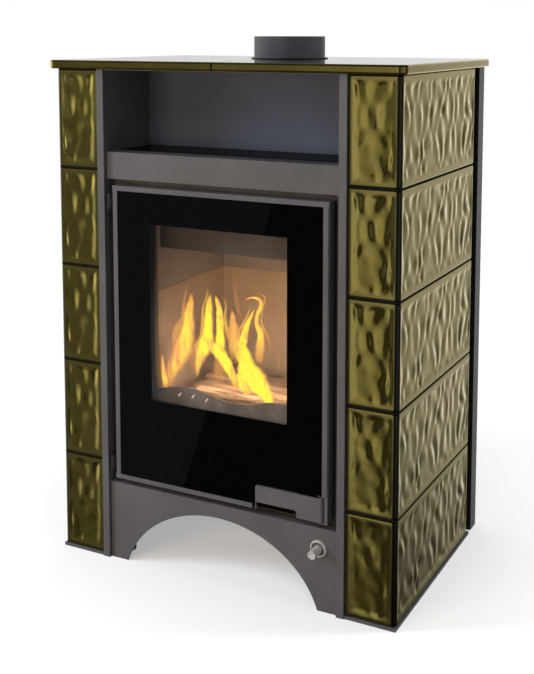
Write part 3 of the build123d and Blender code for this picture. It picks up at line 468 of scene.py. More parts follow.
def printed_border():
    """Black ceramic print on the glass."""
    ink = Finish("printed_border", (0.002, 0.002, 0.002), 0.02)
    ink.give("Specular IOR Level", 0.42)
    ink.colour(ink.noise(60, 2), (0.3, 0.0002), (0.7, 0.0008))
    return ink.material


def rope_fibre():
    """Braided black glass fibre."""
    rope = Finish("rope_fibre", (0.01, 0.01, 0.01), 0.9)
    rope.give("Specular IOR Level", 0.2)
    braid = rope.diagonal_wave(210, 1.5, 3)
    rope.colour(braid, (0.2, 0.003), (0.9, 0.013))
    rope.bump(braid, 0.8, 0.8 * MM)
    return rope.material


def satin_chrome():
    """Chrome with a fine satin haze."""
    metal = Finish("chrome", (0.80, 0.80, 0.82), 0.3, 0.45)
    haze = metal.noise(220, 3)
    metal.colour(haze, (0.3, 0.52), (0.7, 0.66))
    metal.roughness(haze, 0.16, 0.28)
    return metal.material


def zinc():
    """Bright zinc plate with a soft spangle."""
    metal = Finish("zinc_plate", (0.55, 0.56, 0.58), 0.35, 1.0)
    spangle = metal.cells(350)
    metal.colour(spangle, (0.0, (0.42, 0.43, 0.45)), (0.7, (0.64, 0.65, 0.66)))
    metal.roughness(spangle, 0.28, 0.45)
    return metal.material


def window_glass():
    """Clear ceramic glass with a faint smoky tint, which lets the light of the fire through."""
    glass = Finish("window_glass", (0.86, 0.83, 0.80), 0.0)
    glass.give("Transmission Weight", 1.0)
    glass.give("Specular IOR Level", 0.4)
    glass.give("IOR", 1.45)
    smoke = glass.noise(5, 2)
    glass.colour(smoke, (0.3, (0.86, 0.84, 0.82)), (0.7, (0.92, 0.90, 0.88)))
    clear = glass.add("ShaderNodeBsdfTransparent")
    glass.feed((0.88, 0.86, 0.84), clear.inputs["Color"])
    glass.by_ray("Is Shadow Ray", clear, glass.shader)
    return glass.material


def bark():
    """Rough grey-brown bark."""
    skin = Finish("bark", (0.12, 0.07, 0.04), 0.9)
    ridges = skin.noise(60, 5, 0.6, (0.25, 1, 1))
    skin.colour(ridges, (0.3, (0.16, 0.10, 0.065)), (0.7, (0.40, 0.27, 0.18)))
    skin.bump(ridges, 0.9, 3 * MM)
    return skin.material


def split_wood():
    """Pale split wood with long grain, scorched in patches."""
    wood = Finish("split_wood", (0.5, 0.3, 0.18), 0.8)
    grain = wood.noise(170, 4, 0.6, (0.06, 1, 1))
    scorch = wood.noise(16, 3)
    base = wood.ramp(grain, (0.38, (0.15, 0.075, 0.040)), (0.60, (0.50, 0.345, 0.215)))
    wood.colour(wood.mix(wood.ramp(scorch, (0.5, 0.0), (0.8, 0.6)), base, (0.09, 0.05, 0.03)))
    wood.bump(grain, 0.6, 1.5 * MM)
    return wood.material


def ash():
    """Grey ash with glowing crumbs."""
    bed = Finish("ash_bed", (0.3, 0.27, 0.25), 0.95)
    lumps = bed.noise(120, 5, 0.6)
    bed.colour(lumps, (0.3, (0.10, 0.08, 0.07)), (0.7, (0.42, 0.38, 0.35)))
    bed.glow(bed.ramp(bed.cells(90), (0.05, (1.0, 0.28, 0.04)), (0.22, 0.0)), 0.8)
    bed.bump(lumps, 0.8, 3 * MM)
    return bed.material


def embers():
    """Bright embers, seen through the slots of the log guard."""
    coal = Finish("embers", (0.2, 0.1, 0.06), 0.9)
    heat = coal.ramp(coal.noise(160, 3), (0.3, (0.95, 0.50, 0.30)), (0.6, (1.0, 0.80, 0.62)))
    coal.glow(heat, 1.0)
    return coal.material


def flame_light():
    """A flame: yellow in its core, orange at its edges, streaked and fading at the tip."""
    fire = Finish("flame_light", (0.0, 0.0, 0.0), 1.0)
    heat = fire.attribute("flame_heat")
    body = fire.attribute("flame_body")
    streaks = fire.noise(85, 5, 0.65, (1, 1, 0.25))
    curls = fire.noise(34, 3, 0.5, (1, 1, 0.45))
    strands = fire.maths("ADD", fire.maths("MULTIPLY", streaks, 1.7), curls)
    torn = fire.maths("MULTIPLY", heat, fire.maths("SUBTRACT", strands, 0.52))
    light = fire.ramp(
        torn,
        (0.10, (0.36, 0.17, 0.07)),
        (0.32, (0.62, 0.27, 0.075)),
        (0.58, (0.90, 0.46, 0.09)),
        (0.86, (1.0, 0.77, 0.055)),
    )
    fire.glow(light, 1.5)
    fire.give("Specular IOR Level", 0.0)
    gaps = fire.maths("MULTIPLY", strands, 0.62)
    ragged = fire.maths("SUBTRACT", fire.maths("MULTIPLY", body, 2.2), gaps)
    fire.give("Alpha", fire.ramp(ragged, (0.0, 0.0), (0.35, 0.28), (1.0, 1.0)))
    return fire.material


# painted shade: the door frame is near black left of its trim, in the hinge gap, and the rear posts
# in the slot behind the tiles
TRIM_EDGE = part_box("door_trim")[0].x - 1.2 * MM
SLOT_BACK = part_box("right_rear_post")[1].y - 34.5 * MM

OLIVE = olive_glaze()
OLIVE_TOP = top_glaze()
PAINT = frame_paint("anthracite_paint")
# bluish copy of the frame paint: painted cool light in the niche
COOL_LIT_NICHE_PAINT = frame_paint("cool_lit_niche_paint", (0.72, 0.92, 1.26))
# darker, bluish copy of the frame paint: its bluish tint is painted cool light
COOL_LIT_FLUE_PAINT = frame_paint("cool_lit_flue_paint", (0.60, 0.64, 0.76))
DOOR_PAINT = frame_paint("door_paint", shade_below=TRIM_EDGE)
REAR_PAINT = frame_paint("rear_post_paint", shade_axis="Y", shade_below=SLOT_BACK)
# firebox steel, darkened by heat
STEEL = firebox_steel("firebox_steel", (0.058, 0.052, 0.048), (0.095, 0.083, 0.074))
# near-black steel: the flue's cover ring, and painted shade on the hinge pins and brackets in the
# dark hinge gap
BLACK_STEEL_AND_SHADE = firebox_steel("blackened_steel_and_shade", (0.008, 0.008, 0.008), (0.016, 0.015, 0.014))
# lighter copy of the firebox steel for the deflector: painted light
LIT_DEFLECTOR_STEEL = firebox_steel("deflector_steel", (0.150, 0.128, 0.108), (0.230, 0.190, 0.155))
IRON = cast_iron()
BOARD = vermiculite()
BLACK_GLAZE = black_glaze()
PRINT = printed_border()
ROPE = rope_fibre()
SATIN = satin_chrome()
ZINC = zinc()
GLASS = window_glass()
BARK = bark()
WOOD = split_wood()
ASH = ash()
EMBERS = embers()
FLAME = flame_light()

SLOT_FINISHES = {
    "olive_glaze": OLIVE,
    "olive_top_glaze": OLIVE_TOP,
    "anthracite_paint": PAINT,
    "firebox_steel": STEEL,
    "cast_iron": IRON,
    "vermiculite": BOARD,
    "window_glass": GLASS,
    "black_glaze": BLACK_GLAZE,
    "rope_seal": ROPE,
    "chrome": SATIN,
    "zinc_plate": ZINC,
}


def dress_nodes():
    """Give every CAD node the finish of its slot."""
    for part in frame["record"]["subparts"]:
        node = NODES[part["node"]]
        node.data.materials.clear()
        node.data.materials.append(SLOT_FINISHES[part["material_slot"]])
    # painted shade: the hinge pins near black in the dark hinge gap
    NODES["hinge_pins"].data.materials[0] = BLACK_STEEL_AND_SHADE


# ---------------------------------------------------------------- glazed tiles
TILE_LOW, TILE_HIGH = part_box("right_tile_1")
TILE_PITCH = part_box("right_tile_2")[0].z - TILE_LOW.z
TILE_TALL = TILE_HIGH.z - TILE_LOW.z
COURSES = 5
TILE_STEP = 2.5 * MM
TILE_CORNER = 8 * MM            # vertical corner and free end
TILE_NOSE = 3 * MM              # edge beside the front post
TILE_RIM = 2.4 * MM             # top and bottom edges
RIM_STEPS = 4
TILE_WALL = 20 * MM
DENT_WIDE = 36 * MM             # from dent to dent along the tile
DENT_TALL = 62 * MM
FRONT_DEEP = 2.2 * MM
SIDE_DEEP = 2.7 * MM
FLAT_RIM = 6 * MM               # plain border round the relief
SIDE_RIM = 9 * MM
BLEND_RIM = 13 * MM
CORNER_RIM = 3 * MM             # plain strip beside the rounded corner
CORNER_BLEND = 6 * MM
RIM_SHADE = 0.75                 # how strong the painted shade is on the rims
CORNER_SHADE = 0.96              # and on the rounded corner
CORNER_SHADE_REACH = 1.0 * MM            # how far past the rounded corner the painted shade reaches


def eased(value):
    """Smooth step from 0 to 1."""
    value = min(max(value, 0.0), 1.0)
    return value * value * (3 - 2 * value)


def tile_plan():
    """Columns along the tile: outer point, inner point and distance, seen from above."""
    x0, y0 = TILE_LOW.x, TILE_LOW.y
    x1, y1 = TILE_HIGH.x, TILE_HIGH.y
    wall_x = x1 - TILE_WALL
    wall_y = y0 + TILE_WALL
    plan = []

    def arc(cx, cy, radius, start, end, count):
        for step in range(count):
            angle = start + (end - start) * step / count
            plan.append((cx + radius * cos(angle), cy + radius * sin(angle)))

    def run(ax, ay, bx, by):
        count = round((Vector((bx, by)) - Vector((ax, ay))).length / TILE_STEP)
        for step in range(count):
            plan.append((ax + (bx - ax) * step / count, ay + (by - ay) * step / count))

    arc(x0 + TILE_NOSE, y0 + TILE_NOSE, TILE_NOSE, pi, 1.5 * pi, 4)
    run(x0 + TILE_NOSE, y0, x1 - TILE_CORNER, y0)
    arc(x1 - TILE_CORNER, y0 + TILE_CORNER, TILE_CORNER, -pi / 2, 0, 8)
    run(x1, y0 + TILE_CORNER, x1, y1 - TILE_CORNER)
    arc(x1 - TILE_CORNER, y1 - TILE_CORNER, TILE_CORNER, 0, pi / 2, 7)
    plan.append((x1 - TILE_CORNER, y1))
    columns = []
    distance = 0.0
    before = plan[0]
    for x, y in plan:
        distance += (Vector((x, y)) - Vector(before)).length
        before = (x, y)
        on_front = y < wall_y and x < wall_x
        inner = (max(x, x0), wall_y) if on_front else (wall_x, max(y, wall_y))
        columns.append(((x, y), inner, distance))
    return columns


def tile_section():
    """Rows up the tile, as inset and height: inner edge, rounded rim, face, rim, inner edge."""
    face = TILE_TALL - 2 * TILE_RIM
    face_rows = round(face / TILE_STEP)
    turns = [pi / 2 * step / RIM_STEPS for step in range(RIM_STEPS + 1)]
    rows = [(TILE_WALL, 0.0)]
    rows += [(TILE_RIM * (1 - sin(a)), TILE_RIM * (1 - cos(a))) for a in turns[:-1]]
    rows += [(0.0, TILE_RIM + face * step / face_rows) for step in range(face_rows + 1)]
    rows += [(TILE_RIM * (1 - cos(a)), TILE_TALL - TILE_RIM * (1 - sin(a))) for a in turns[1:]]
    return rows + [(TILE_WALL, TILE_TALL), (TILE_WALL, 0.0)]


def dent(along, height):
    """How deep the hand-pressed relief is, from 0 on a ridge to 1 in a hollow."""
    def wander(wide, tall, seed):
        return noise.noise(Vector((along / wide, height / tall, seed)))

    across = 2 * pi * (along / DENT_WIDE + 0.55 * wander(0.05, 0.06, 4.0))
    upward = 2 * pi * (height / DENT_TALL + 0.45 * wander(0.07, 0.05, 21.0))
    lattice = cos(across) * cos(upward / 2) + 0.35 * sin(0.5 * across + upward)
    swell = 0.65 + 0.5 * wander(0.06, 0.08, 9.0)
    fine = 0.10 * wander(0.016, 0.022, 13.0)
    return min(max(0.5 + 0.5 * lattice * swell + fine, 0.0), 1.0)


def tile_shell():
    """The first right tile: a grid wrapped round the L, with its relief pressed inwards."""
    columns = tile_plan()
    section = tile_section()
    length = columns[-1][2]
    corner_at = TILE_NOSE * (pi / 2 - 1) + TILE_HIGH.x - TILE_LOW.x - TILE_CORNER * (1 - pi / 4)
    across = len(columns) - 1
    around = len(section) - 1
    tile = primitive(
        "right_tile_relief", bpy.ops.mesh.primitive_grid_add, x_subdivisions=across,
        y_subdivisions=around, size=1,
    )
    depths = []
    edges = []
    for vertex in tile.data.vertices:
        outer, inner, along = columns[round((vertex.co.x + 0.5) * across)]
        inset, height = section[round((vertex.co.y + 0.5) * around)]
        border = min(height, TILE_TALL - height, along - TILE_NOSE, length - along)
        on_side = along > corner_at
        mask = eased((border - (SIDE_RIM if on_side else FLAT_RIM)) / BLEND_RIM)
        off_corner = abs(along - corner_at) - pi / 4 * TILE_CORNER
        mask *= eased((off_corner - CORNER_RIM) / CORNER_BLEND)
        pressed = dent(along, height) * mask if inset < TILE_RIM else 0.0
        depths.append(pressed)
        # painted shade: how dark the rims and the rounded corner are painted
        at_rim = inset > TILE_RIM / 3 or along < MM
        near_corner = eased(1 - max(off_corner, 0.0) / CORNER_SHADE_REACH)
        edges.append(RIM_SHADE if at_rim else CORNER_SHADE * near_corner)
        deep = SIDE_DEEP if on_side else FRONT_DEEP
        share = (inset + deep * pressed) / TILE_WALL
        vertex.co.x = outer[0] + (inner[0] - outer[0]) * share
        vertex.co.y = outer[1] + (inner[1] - outer[1]) * share
        past_end = max(outer[1] - (TILE_HIGH.y - TILE_CORNER), 0.0)
        lift = TILE_CORNER - sqrt(max(TILE_CORNER ** 2 - past_end ** 2, 0.0))
        vertex.co.z = TILE_LOW.z + height + lift * (1 - height / TILE_TALL)
    write_attributes(tile, dent_depth=depths, thin_edge=edges)
    edit(tile, select="SELECT")
    bpy.ops.mesh.remove_doubles(threshold=WELD)
    bpy.ops.mesh.select_all(action="DESELECT")
    bpy.ops.mesh.select_non_manifold()
    bpy.ops.mesh.edge_face_add()
    bpy.ops.mesh.select_all(action="SELECT")
    bpy.ops.mesh.normals_make_consistent(inside=False)
    leave_edit()
    return tile


def glazed_tiles():
    """Both stacks from the one pressed tile."""
    shell = tile_shell()
    for course in range(COURSES):
        for side in ("right", "left"):
            node = f"{side}_tile_{course + 1}"
            shift = (0, 0, course * TILE_PITCH)
            tile = repeat(shell, f"{node}_glazed", shift, mirror_x=side == "left")
            finish(tile, "root", OLIVE, 60)
            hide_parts(node)
    bpy.data.objects.remove(shell)


# ---------------------------------------------------------------- frame and top
def painted_frame():
    """The folded sheet pieces with softly broken edges."""
    for side in ("left", "right"):
        for part in ("front_post", "base_tray"):
            softened(f"{side}_{part}", "root", PAINT)
        softened(f"{side}_rear_post", "root", REAR_PAINT)
    softened("shelf_rail", "root", PAINT)
    softened("arch_panel", "root", PAINT)
    softened("niche_liner", "root", COOL_LIT_NICHE_PAINT)


JOINT_ROUND = 1.6 * MM          # the slabs' edges along their joint
SLAB_ROUND = 0.8 * MM           # and all round
CORD_HALF = 0.55 * MM
CORD_SUNK = 1.8 * MM            # how far the cord lies behind the slabs' faces


def rounded_joint(slab):
    """Round the edges where one top slab meets the other."""
    edit_faces(slab, lambda c, n: abs(n.x) > 0.9 and abs(c.x) < 2 * MM)
    bpy.ops.mesh.bevel(offset=JOINT_ROUND, segments=4, affect="EDGES")
    leave_edit()


def ceramic_top():
    """Top slabs with the cord in their joint, and the glossy niche shelf."""
    for side in ("left", "right"):
        softened(
            f"{side}_top_slab", "root", OLIVE_TOP, SLAB_ROUND, 3,
            shape=rounded_joint,
        )
    softened("shelf_slab", "root", BLACK_GLAZE, 0.8 * MM, 3, 30)
    low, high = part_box("left_top_slab")
    cord = rounded_block(
        "top_joint_cord", (-CORD_HALF, low.y + CORD_SUNK, low.z + 0.8 * MM),
        (CORD_HALF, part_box("flue_ring")[0].y, high.z - CORD_SUNK), 0.3 * MM, 2,
    )
    finish(cord, "root", PRINT)


PIPE_WALL = 2 * MM


def flue():
    """Thin-walled spigot with a rounded rim, on its cover ring."""
    low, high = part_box("flue_pipe")
    centre = (low + high) / 2
    pipe = primitive(
        "flue_spigot", bpy.ops.mesh.primitive_cylinder_add, vertices=128,
        radius=(high.x - low.x) / 2, depth=high.z - low.z, location=centre, end_fill_type="NGON",
    )
    apply_place(pipe)
    edit_faces(pipe, lambda c, n: abs(n.z) > 0.9)
    bpy.ops.mesh.inset(thickness=PIPE_WALL)
    edit_faces(pipe, lambda c, n: abs(n.z) > 0.9 and (c - centre).xy.length < MM)
    bpy.ops.mesh.delete(type="FACE")
    bpy.ops.mesh.select_mode(type="EDGE")
    bpy.ops.mesh.select_all(action="DESELECT")
    bpy.ops.mesh.select_non_manifold()
    bpy.ops.mesh.bridge_edge_loops()
    leave_edit()
    tidy_mesh(pipe)
    bevelled(pipe, 0.7 * MM, 3)
    finish(pipe, "root", COOL_LIT_FLUE_PAINT, 40)
    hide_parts("flue_pipe")
    softened("flue_ring", "root", BLACK_STEEL_AND_SHADE)


CORD_OUT = 6 * MM               # how far the joint cords come out between the tiles
CORD_EDGE = 10 * MM             # the strip of a cord that is drawn out


def hidden_plates():
    """Joint cords, side, top and back plates, brackets and feet with broken edges."""
    seals = softened("tile_seals", "root", ROPE, 0.8 * MM, 3)
    for vertex in seals.data.vertices:
        if TILE_HIGH.x - abs(vertex.co.x) < CORD_EDGE:
            vertex.co.x += copysign(CORD_OUT, vertex.co.x)
        if vertex.co.y - TILE_LOW.y < CORD_EDGE:
            vertex.co.y -= CORD_OUT
    for part in ("left_side_panel", "right_side_panel", "top_plate", "back_panel"):
        softened(part, "root", PAINT, 0.4 * MM)
    # painted shade: the hinge brackets near black in the dark hinge gap
    softened("front_brackets", "root", BLACK_STEEL_AND_SHADE, 0.4 * MM)
    softened("levelling_feet", "root", ZINC, 0.8 * MM, 3)


# ---------------------------------------------------------------- door
WINDOW_LOW_Z = 0.350
WINDOW_HIGH_Z = 0.704
WINDOW_HALF = 0.151
PRINT_INSET = 3 * MM            # from the edge of the glass to its print
PRINT_BACK = 0.02 * MM          # how far the two sides of the print stand before the glass
PRINT_FRONT = 0.12 * MM
TAPE_WIDTH = 10 * MM
TAPE_GAP = 0.25 * MM            # from the back of the glass
ROPE_THICK = 12 * MM
ROPE_CORNER = 8 * MM


def flat_ring(name, outside, inside, y0, y1):
    """A rectangular ring in the plane of the door, each outline (half width, foot, head)."""
    half, low, high = outside
    inner_half, inner_low, inner_high = inside
    middle = (low + high) / 2
    piece = primitive(
        name, bpy.ops.mesh.primitive_plane_add, (2 * half, high - low, 1), size=1,
        location=(0, y0, middle), rotation=UPRIGHT,
    )
    edit(piece, "FACE", "SELECT")
    bpy.ops.mesh.inset(thickness=half / 10)
    leave_edit()
    for vertex in piece.data.vertices:
        if abs(vertex.co.x) < half - MM:
            vertex.co.x = copysign(inner_half, vertex.co.x)
            vertex.co.z = inner_low if vertex.co.z < middle else inner_high
    edit_faces(piece, lambda c, n: abs(c.x) < inner_half and inner_low < c.z < inner_high)
    bpy.ops.mesh.delete(type="FACE")
    leave_edit()
    backward = 1 if piece.data.polygons[0].normal.y > 0 else -1
    modified(piece, "SOLIDIFY", thickness=y1 - y0, offset=backward)
    tidy_mesh(piece)
    return piece


def door():
    """Painted frame, printed glass, trim and rope."""
    softened("door_frame", "door", DOOR_PAINT, 0.4 * MM)
    softened("door_trim", "door", PAINT, 0.4 * MM)
    low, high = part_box("door_glass")
    border = flat_ring(
        "printed_border", (high.x - PRINT_INSET, low.z + PRINT_INSET, high.z - PRINT_INSET),
        (WINDOW_HALF, WINDOW_LOW_Z, WINDOW_HIGH_Z), low.y - PRINT_FRONT, low.y - PRINT_BACK,
    )
    finish(border, "door", PRINT)
    tape_front = high.y + TAPE_GAP
    low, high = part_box("glass_seal")
    tape = flat_ring(
        "glass_tape", (high.x, low.z, high.z),
        (high.x - TAPE_WIDTH, low.z + TAPE_WIDTH, high.z - TAPE_WIDTH), tape_front, high.y,
    )
    finish(tape, "door", ROPE)
    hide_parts("glass_seal")
    rope()


def rope():
    """Braided gasket rope, laid round in one loop and squeezed flat."""
    low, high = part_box("door_gasket")
    middle = (low + high) / 2
    loop = primitive(
        "gasket_rope", bpy.ops.mesh.primitive_plane_add,
        (high.x - low.x - ROPE_THICK, high.z - low.z - ROPE_THICK, 1), size=1, location=middle,
        rotation=UPRIGHT,
    )
    edit(loop, select="SELECT")
    bpy.ops.mesh.delete(type="ONLY_FACE")
    bpy.ops.mesh.select_all(action="SELECT")
    bpy.ops.mesh.bevel(offset=ROPE_CORNER, segments=6, affect="VERTICES")
    leave_edit()
    pick(loop)
    bpy.ops.object.convert(target="CURVE")
    loop = bpy.context.object
    loop.data.bevel_depth = ROPE_THICK / 2
    loop.data.bevel_resolution = 4
    bpy.ops.object.convert(target="MESH")
    loop = bpy.context.object
    for vertex in loop.data.vertices:
        vertex.co.y = middle.y + (vertex.co.y - middle.y) * (high.y - low.y) / ROPE_THICK
    tidy_mesh(loop)
    finish(loop, "door", ROPE, 60)
    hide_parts("door_gasket")


def door_handle():
    """Folded handle with softly rounded bends."""
    softened("handle", "handle", PAINT, 0.5 * MM, 3)


TURNED_RIM = 2.2 * MM
ROSETTE_TAPER = 1.6 * MM
ROSETTE_BEVEL = 0.4 * MM


def turned_disc(name, node, vertices, taper, recess):
    """A disc turned to the size of a node, its front face sunk inside a rim."""
    low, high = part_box(node)
    radius = (high.x - low.x) / 2
    disc = primitive(
        name, bpy.ops.mesh.primitive_cone_add, vertices=vertices, radius1=radius,
        radius2=radius - taper, depth=high.y - low.y, location=(low + high) / 2,
        rotation=UPRIGHT, end_fill_type="NGON",
    )
    apply_place(disc)
    edit_faces(disc, lambda c, n: n.y < -0.9)
    bpy.ops.mesh.inset(thickness=TURNED_RIM)
    bpy.ops.mesh.extrude_region_move(TRANSFORM_OT_translate={"value": (0, recess, 0)})
    leave_edit()
    return disc


def air_knob():
    """Bevelled chrome rosette, dark inside its rim, and the turned knob in it."""
    rosette = turned_disc("knob_rosette", "air_rosette", 96, ROSETTE_TAPER, 3 * MM)
    bevelled(rosette, ROSETTE_BEVEL, 3)
    finish(rosette, "root", SATIN, 40)
    rosette.data.materials.append(PAINT)
    low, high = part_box("air_rosette")
    centre = (low + high) / 2
    bore = (high.x - low.x) / 2 - ROSETTE_TAPER - TURNED_RIM - ROSETTE_BEVEL
    for face in rosette.data.polygons:
        inside = (face.center - centre).xz.length < bore
        face.material_index = 1 if inside and face.normal.y < 0.5 else 0
    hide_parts("air_rosette")
    knob = turned_disc("turned_knob", "air_knob", 72, 0, 0.6 * MM)
    bevelled(knob, 0.6 * MM, 3)
    finish(knob, "air_control", SATIN, 40)
    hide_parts("air_knob")


# ---------------------------------------------------------------- fire
EMBER_ENDS = (-0.117, -0.038)    # behind the three left slots of the log guard
EMBER_RISE = (0.049, 0.064)      # over the guard's lower edge


def firebox():
    """Lining boards, log guard with embers behind its slots, and the hanging deflector."""
    for part in ("left_lining", "right_lining", "rear_lining", "baffle"):
        softened(part, "root", BOARD, 1.2 * MM)
    softened("log_guard", "root", IRON, 0.6 * MM)
    low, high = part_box("log_guard")
    coals = rounded_block(
        "ember_row", (EMBER_ENDS[0], high.y + MM, low.z + EMBER_RISE[0]),
        (EMBER_ENDS[1], high.y + 4 * MM, low.z + EMBER_RISE[1]), 1.2 * MM,
    )
    finish(coals, "root", EMBERS)
    softened("air_deflector", "root", LIT_DEFLECTOR_STEEL, 0.4 * MM)


LOG_VOXEL = 3.5 * MM


def log(name, left, right, radius, split, seed):
    """A log between two points: round with a split face, rough all over."""
    direction = right - left
    piece = primitive(
        name, bpy.ops.mesh.primitive_cylinder_add, vertices=28, radius=radius,
        depth=direction.length, end_fill_type="NGON",
    )
    edit_faces(piece, lambda c, n: abs(n.z) > 0.9)
    bpy.ops.mesh.inset(thickness=radius * 0.4)
    leave_edit()
    edit(piece, select="SELECT")
    bpy.ops.mesh.bisect(
        plane_co=(0, radius * split, 0), plane_no=(0, 1, 0), clear_outer=True, use_fill=True
    )
    leave_edit()
    bevelled(piece, radius * 0.06, 2, 25)
    modified(piece, "REMESH", mode="VOXEL", voxel_size=LOG_VOXEL)
    for vertex in piece.data.vertices:
        place = vertex.co
        coarse = noise.noise(Vector((place.x * 30, place.y * 30, place.z * 12 + seed)))
        fine = noise.noise(Vector((place.x * 110, place.y * 110, place.z * 20 + seed)))
        away = Vector((place.x, place.y, 0)).normalized()
        vertex.co += away * (coarse * 0.10 + fine * 0.05) * radius
    piece.data.transform(direction.to_track_quat("Z", "Y").to_matrix().to_4x4())
    piece.location = (left + right) / 2
    return piece


LOGS = [
    # name, left and right end (x, depth behind the front, height over the grate) and radius
    # in mm, how much of the round is left before the split, seed, finish
    ("log_front", (-105, 120, 42), (155, 135, 40), 26, 0.45, 1.0, WOOD),
    ("log_rear", (-140, 225, 30), (150, 205, 30), 34, 0.5, 4.0, BARK),
    ("log_low", (-150, 165, 22), (120, 175, 22), 25, 0.6, 8.0, BARK),
]


def logs():
    """Split logs on the grate."""
    grate = Vector((0, FRONT_Y, GRATE_HIGH.z))
    for name, left, right, radius, split, seed, wood in LOGS:
        ends = (grate + MM * Vector(end) for end in (left, right))
        finish(log(name, *ends, radius * MM, split, seed), "root", wood, 60)


ASH_HALF_WIDE = 0.1675
ASH_HALF_DEEP = 0.1275
ASH_SLOPE = 0.03                 # how far from its edge the bed still rises
ASH_RISE = 9 * MM
ASH_LUMPS = 4 * MM
ASH_SUNK = 1.5 * MM              # how deep its edge is sunk


def ash_bed():
    """A lumpy bed of ash round the grate, which falls off towards its edges."""
    middle = (GRATE_LOW.y + GRATE_HIGH.y) / 2
    bed = primitive(
        "ash_bed", bpy.ops.mesh.primitive_grid_add, (2 * ASH_HALF_WIDE, 2 * ASH_HALF_DEEP, 1),
        x_subdivisions=90, y_subdivisions=70, size=1, location=(0, middle, HEARTH_TOP + 2 * MM),
    )
    for vertex in bed.data.vertices:
        x, y = vertex.co.xy
        edge = min(ASH_HALF_WIDE - abs(x), ASH_HALF_DEEP - abs(y - middle))
        lump = noise.noise(Vector((x * 45, y * 45, 2.0)))
        lump += 0.5 * noise.noise(Vector((x * 130, y * 130, 5.0)))
        vertex.co.z += eased(edge / ASH_SLOPE) * (ASH_RISE + ASH_LUMPS * lump) - ASH_SUNK
    finish(bed, "root", ASH, 60)


def along_stations(stations, share):
    """A point on the smooth line through the stations (x, z, half width)."""
    spans = len(stations) - 1
    span = min(int(share * spans), spans - 1)
    t = share * spans - span
    p0 = Vector(stations[max(span - 1, 0)])
    p1 = Vector(stations[span])
    p2 = Vector(stations[span + 1])
    p3 = Vector(stations[min(span + 2, spans)])
    bend = (p2 - p0) * t + (2 * p0 - 5 * p1 + 4 * p2 - p3) * t ** 2
    return p1 + (bend + (3 * p1 - p0 - 3 * p2 + p3) * t ** 3) / 2


LONG_TIPS = ("flame_hook", "flame_wisp", "veil_wisp", "flame_leaning")
LONG_TIP = 9.0                   # how steeply a long tip and a usual one end
TIP = 4.2
WHITE_HOT = 1.3                  # a flame hotter than this isn't dimmer at its foot
VEIL_BEHIND = 8                  # in mm, like the stations
LICK_BEHIND = 4


def flame(name, depth, hot, dense, stations, seed):
    """One tongue of fire: a bowed sheet laid along its stations, which are in mm.

    Across the sheet u runs from -1 to 1, and v from 0 at the foot to 1 at the tip.
    """
    piece = primitive(
        name, bpy.ops.mesh.primitive_grid_add, x_subdivisions=14,
        y_subdivisions=16 + 8 * len(stations), size=1,
    )
    heat = []
    body = []
    for vertex in piece.data.vertices:
        u = vertex.co.x * 2
        v = vertex.co.y + 0.5
        x, z, half = MM * along_stations(stations, v)
        half = max(half, 0.0)
        ahead = along_stations(stations, min(v + 0.01, 1.0))
        ahead -= along_stations(stations, max(v - 0.01, 0.0))
        side = Vector((ahead.y, -ahead.x)).normalized()
        ragged = 1 + 0.20 * noise.noise(Vector((v * 7, u * 0.7, seed + 7)))
        ragged += 0.22 * noise.noise(Vector((v * 19, u * 1.3, seed + 3)))
        offset = u * 1.3 * half * ragged
        bow = (1 - u * u) * 0.4 * half
        vertex.co = (x + side.x * offset, FRONT_Y + depth * MM - bow, z + side.y * offset)
        edge = 1 - abs(u)
        low = 1.0 if hot > WHITE_HOT else 0.62 + 0.38 * eased(v * 2.6)
        heat.append(hot * low * eased(edge * 1.2) * (1 - 0.5 * v ** 3))
        tip = eased((1 - v) * (LONG_TIP if name in LONG_TIPS else TIP))
        keen = eased((edge - 0.42 * v ** 3) * 1.3)
        body.append(dense * low * keen * tip * eased(v * 9 + 0.3))
    write_attributes(piece, flame_heat=heat, flame_body=body)
    tidy_mesh(piece)
    finish(piece, "root", FLAME, 180)


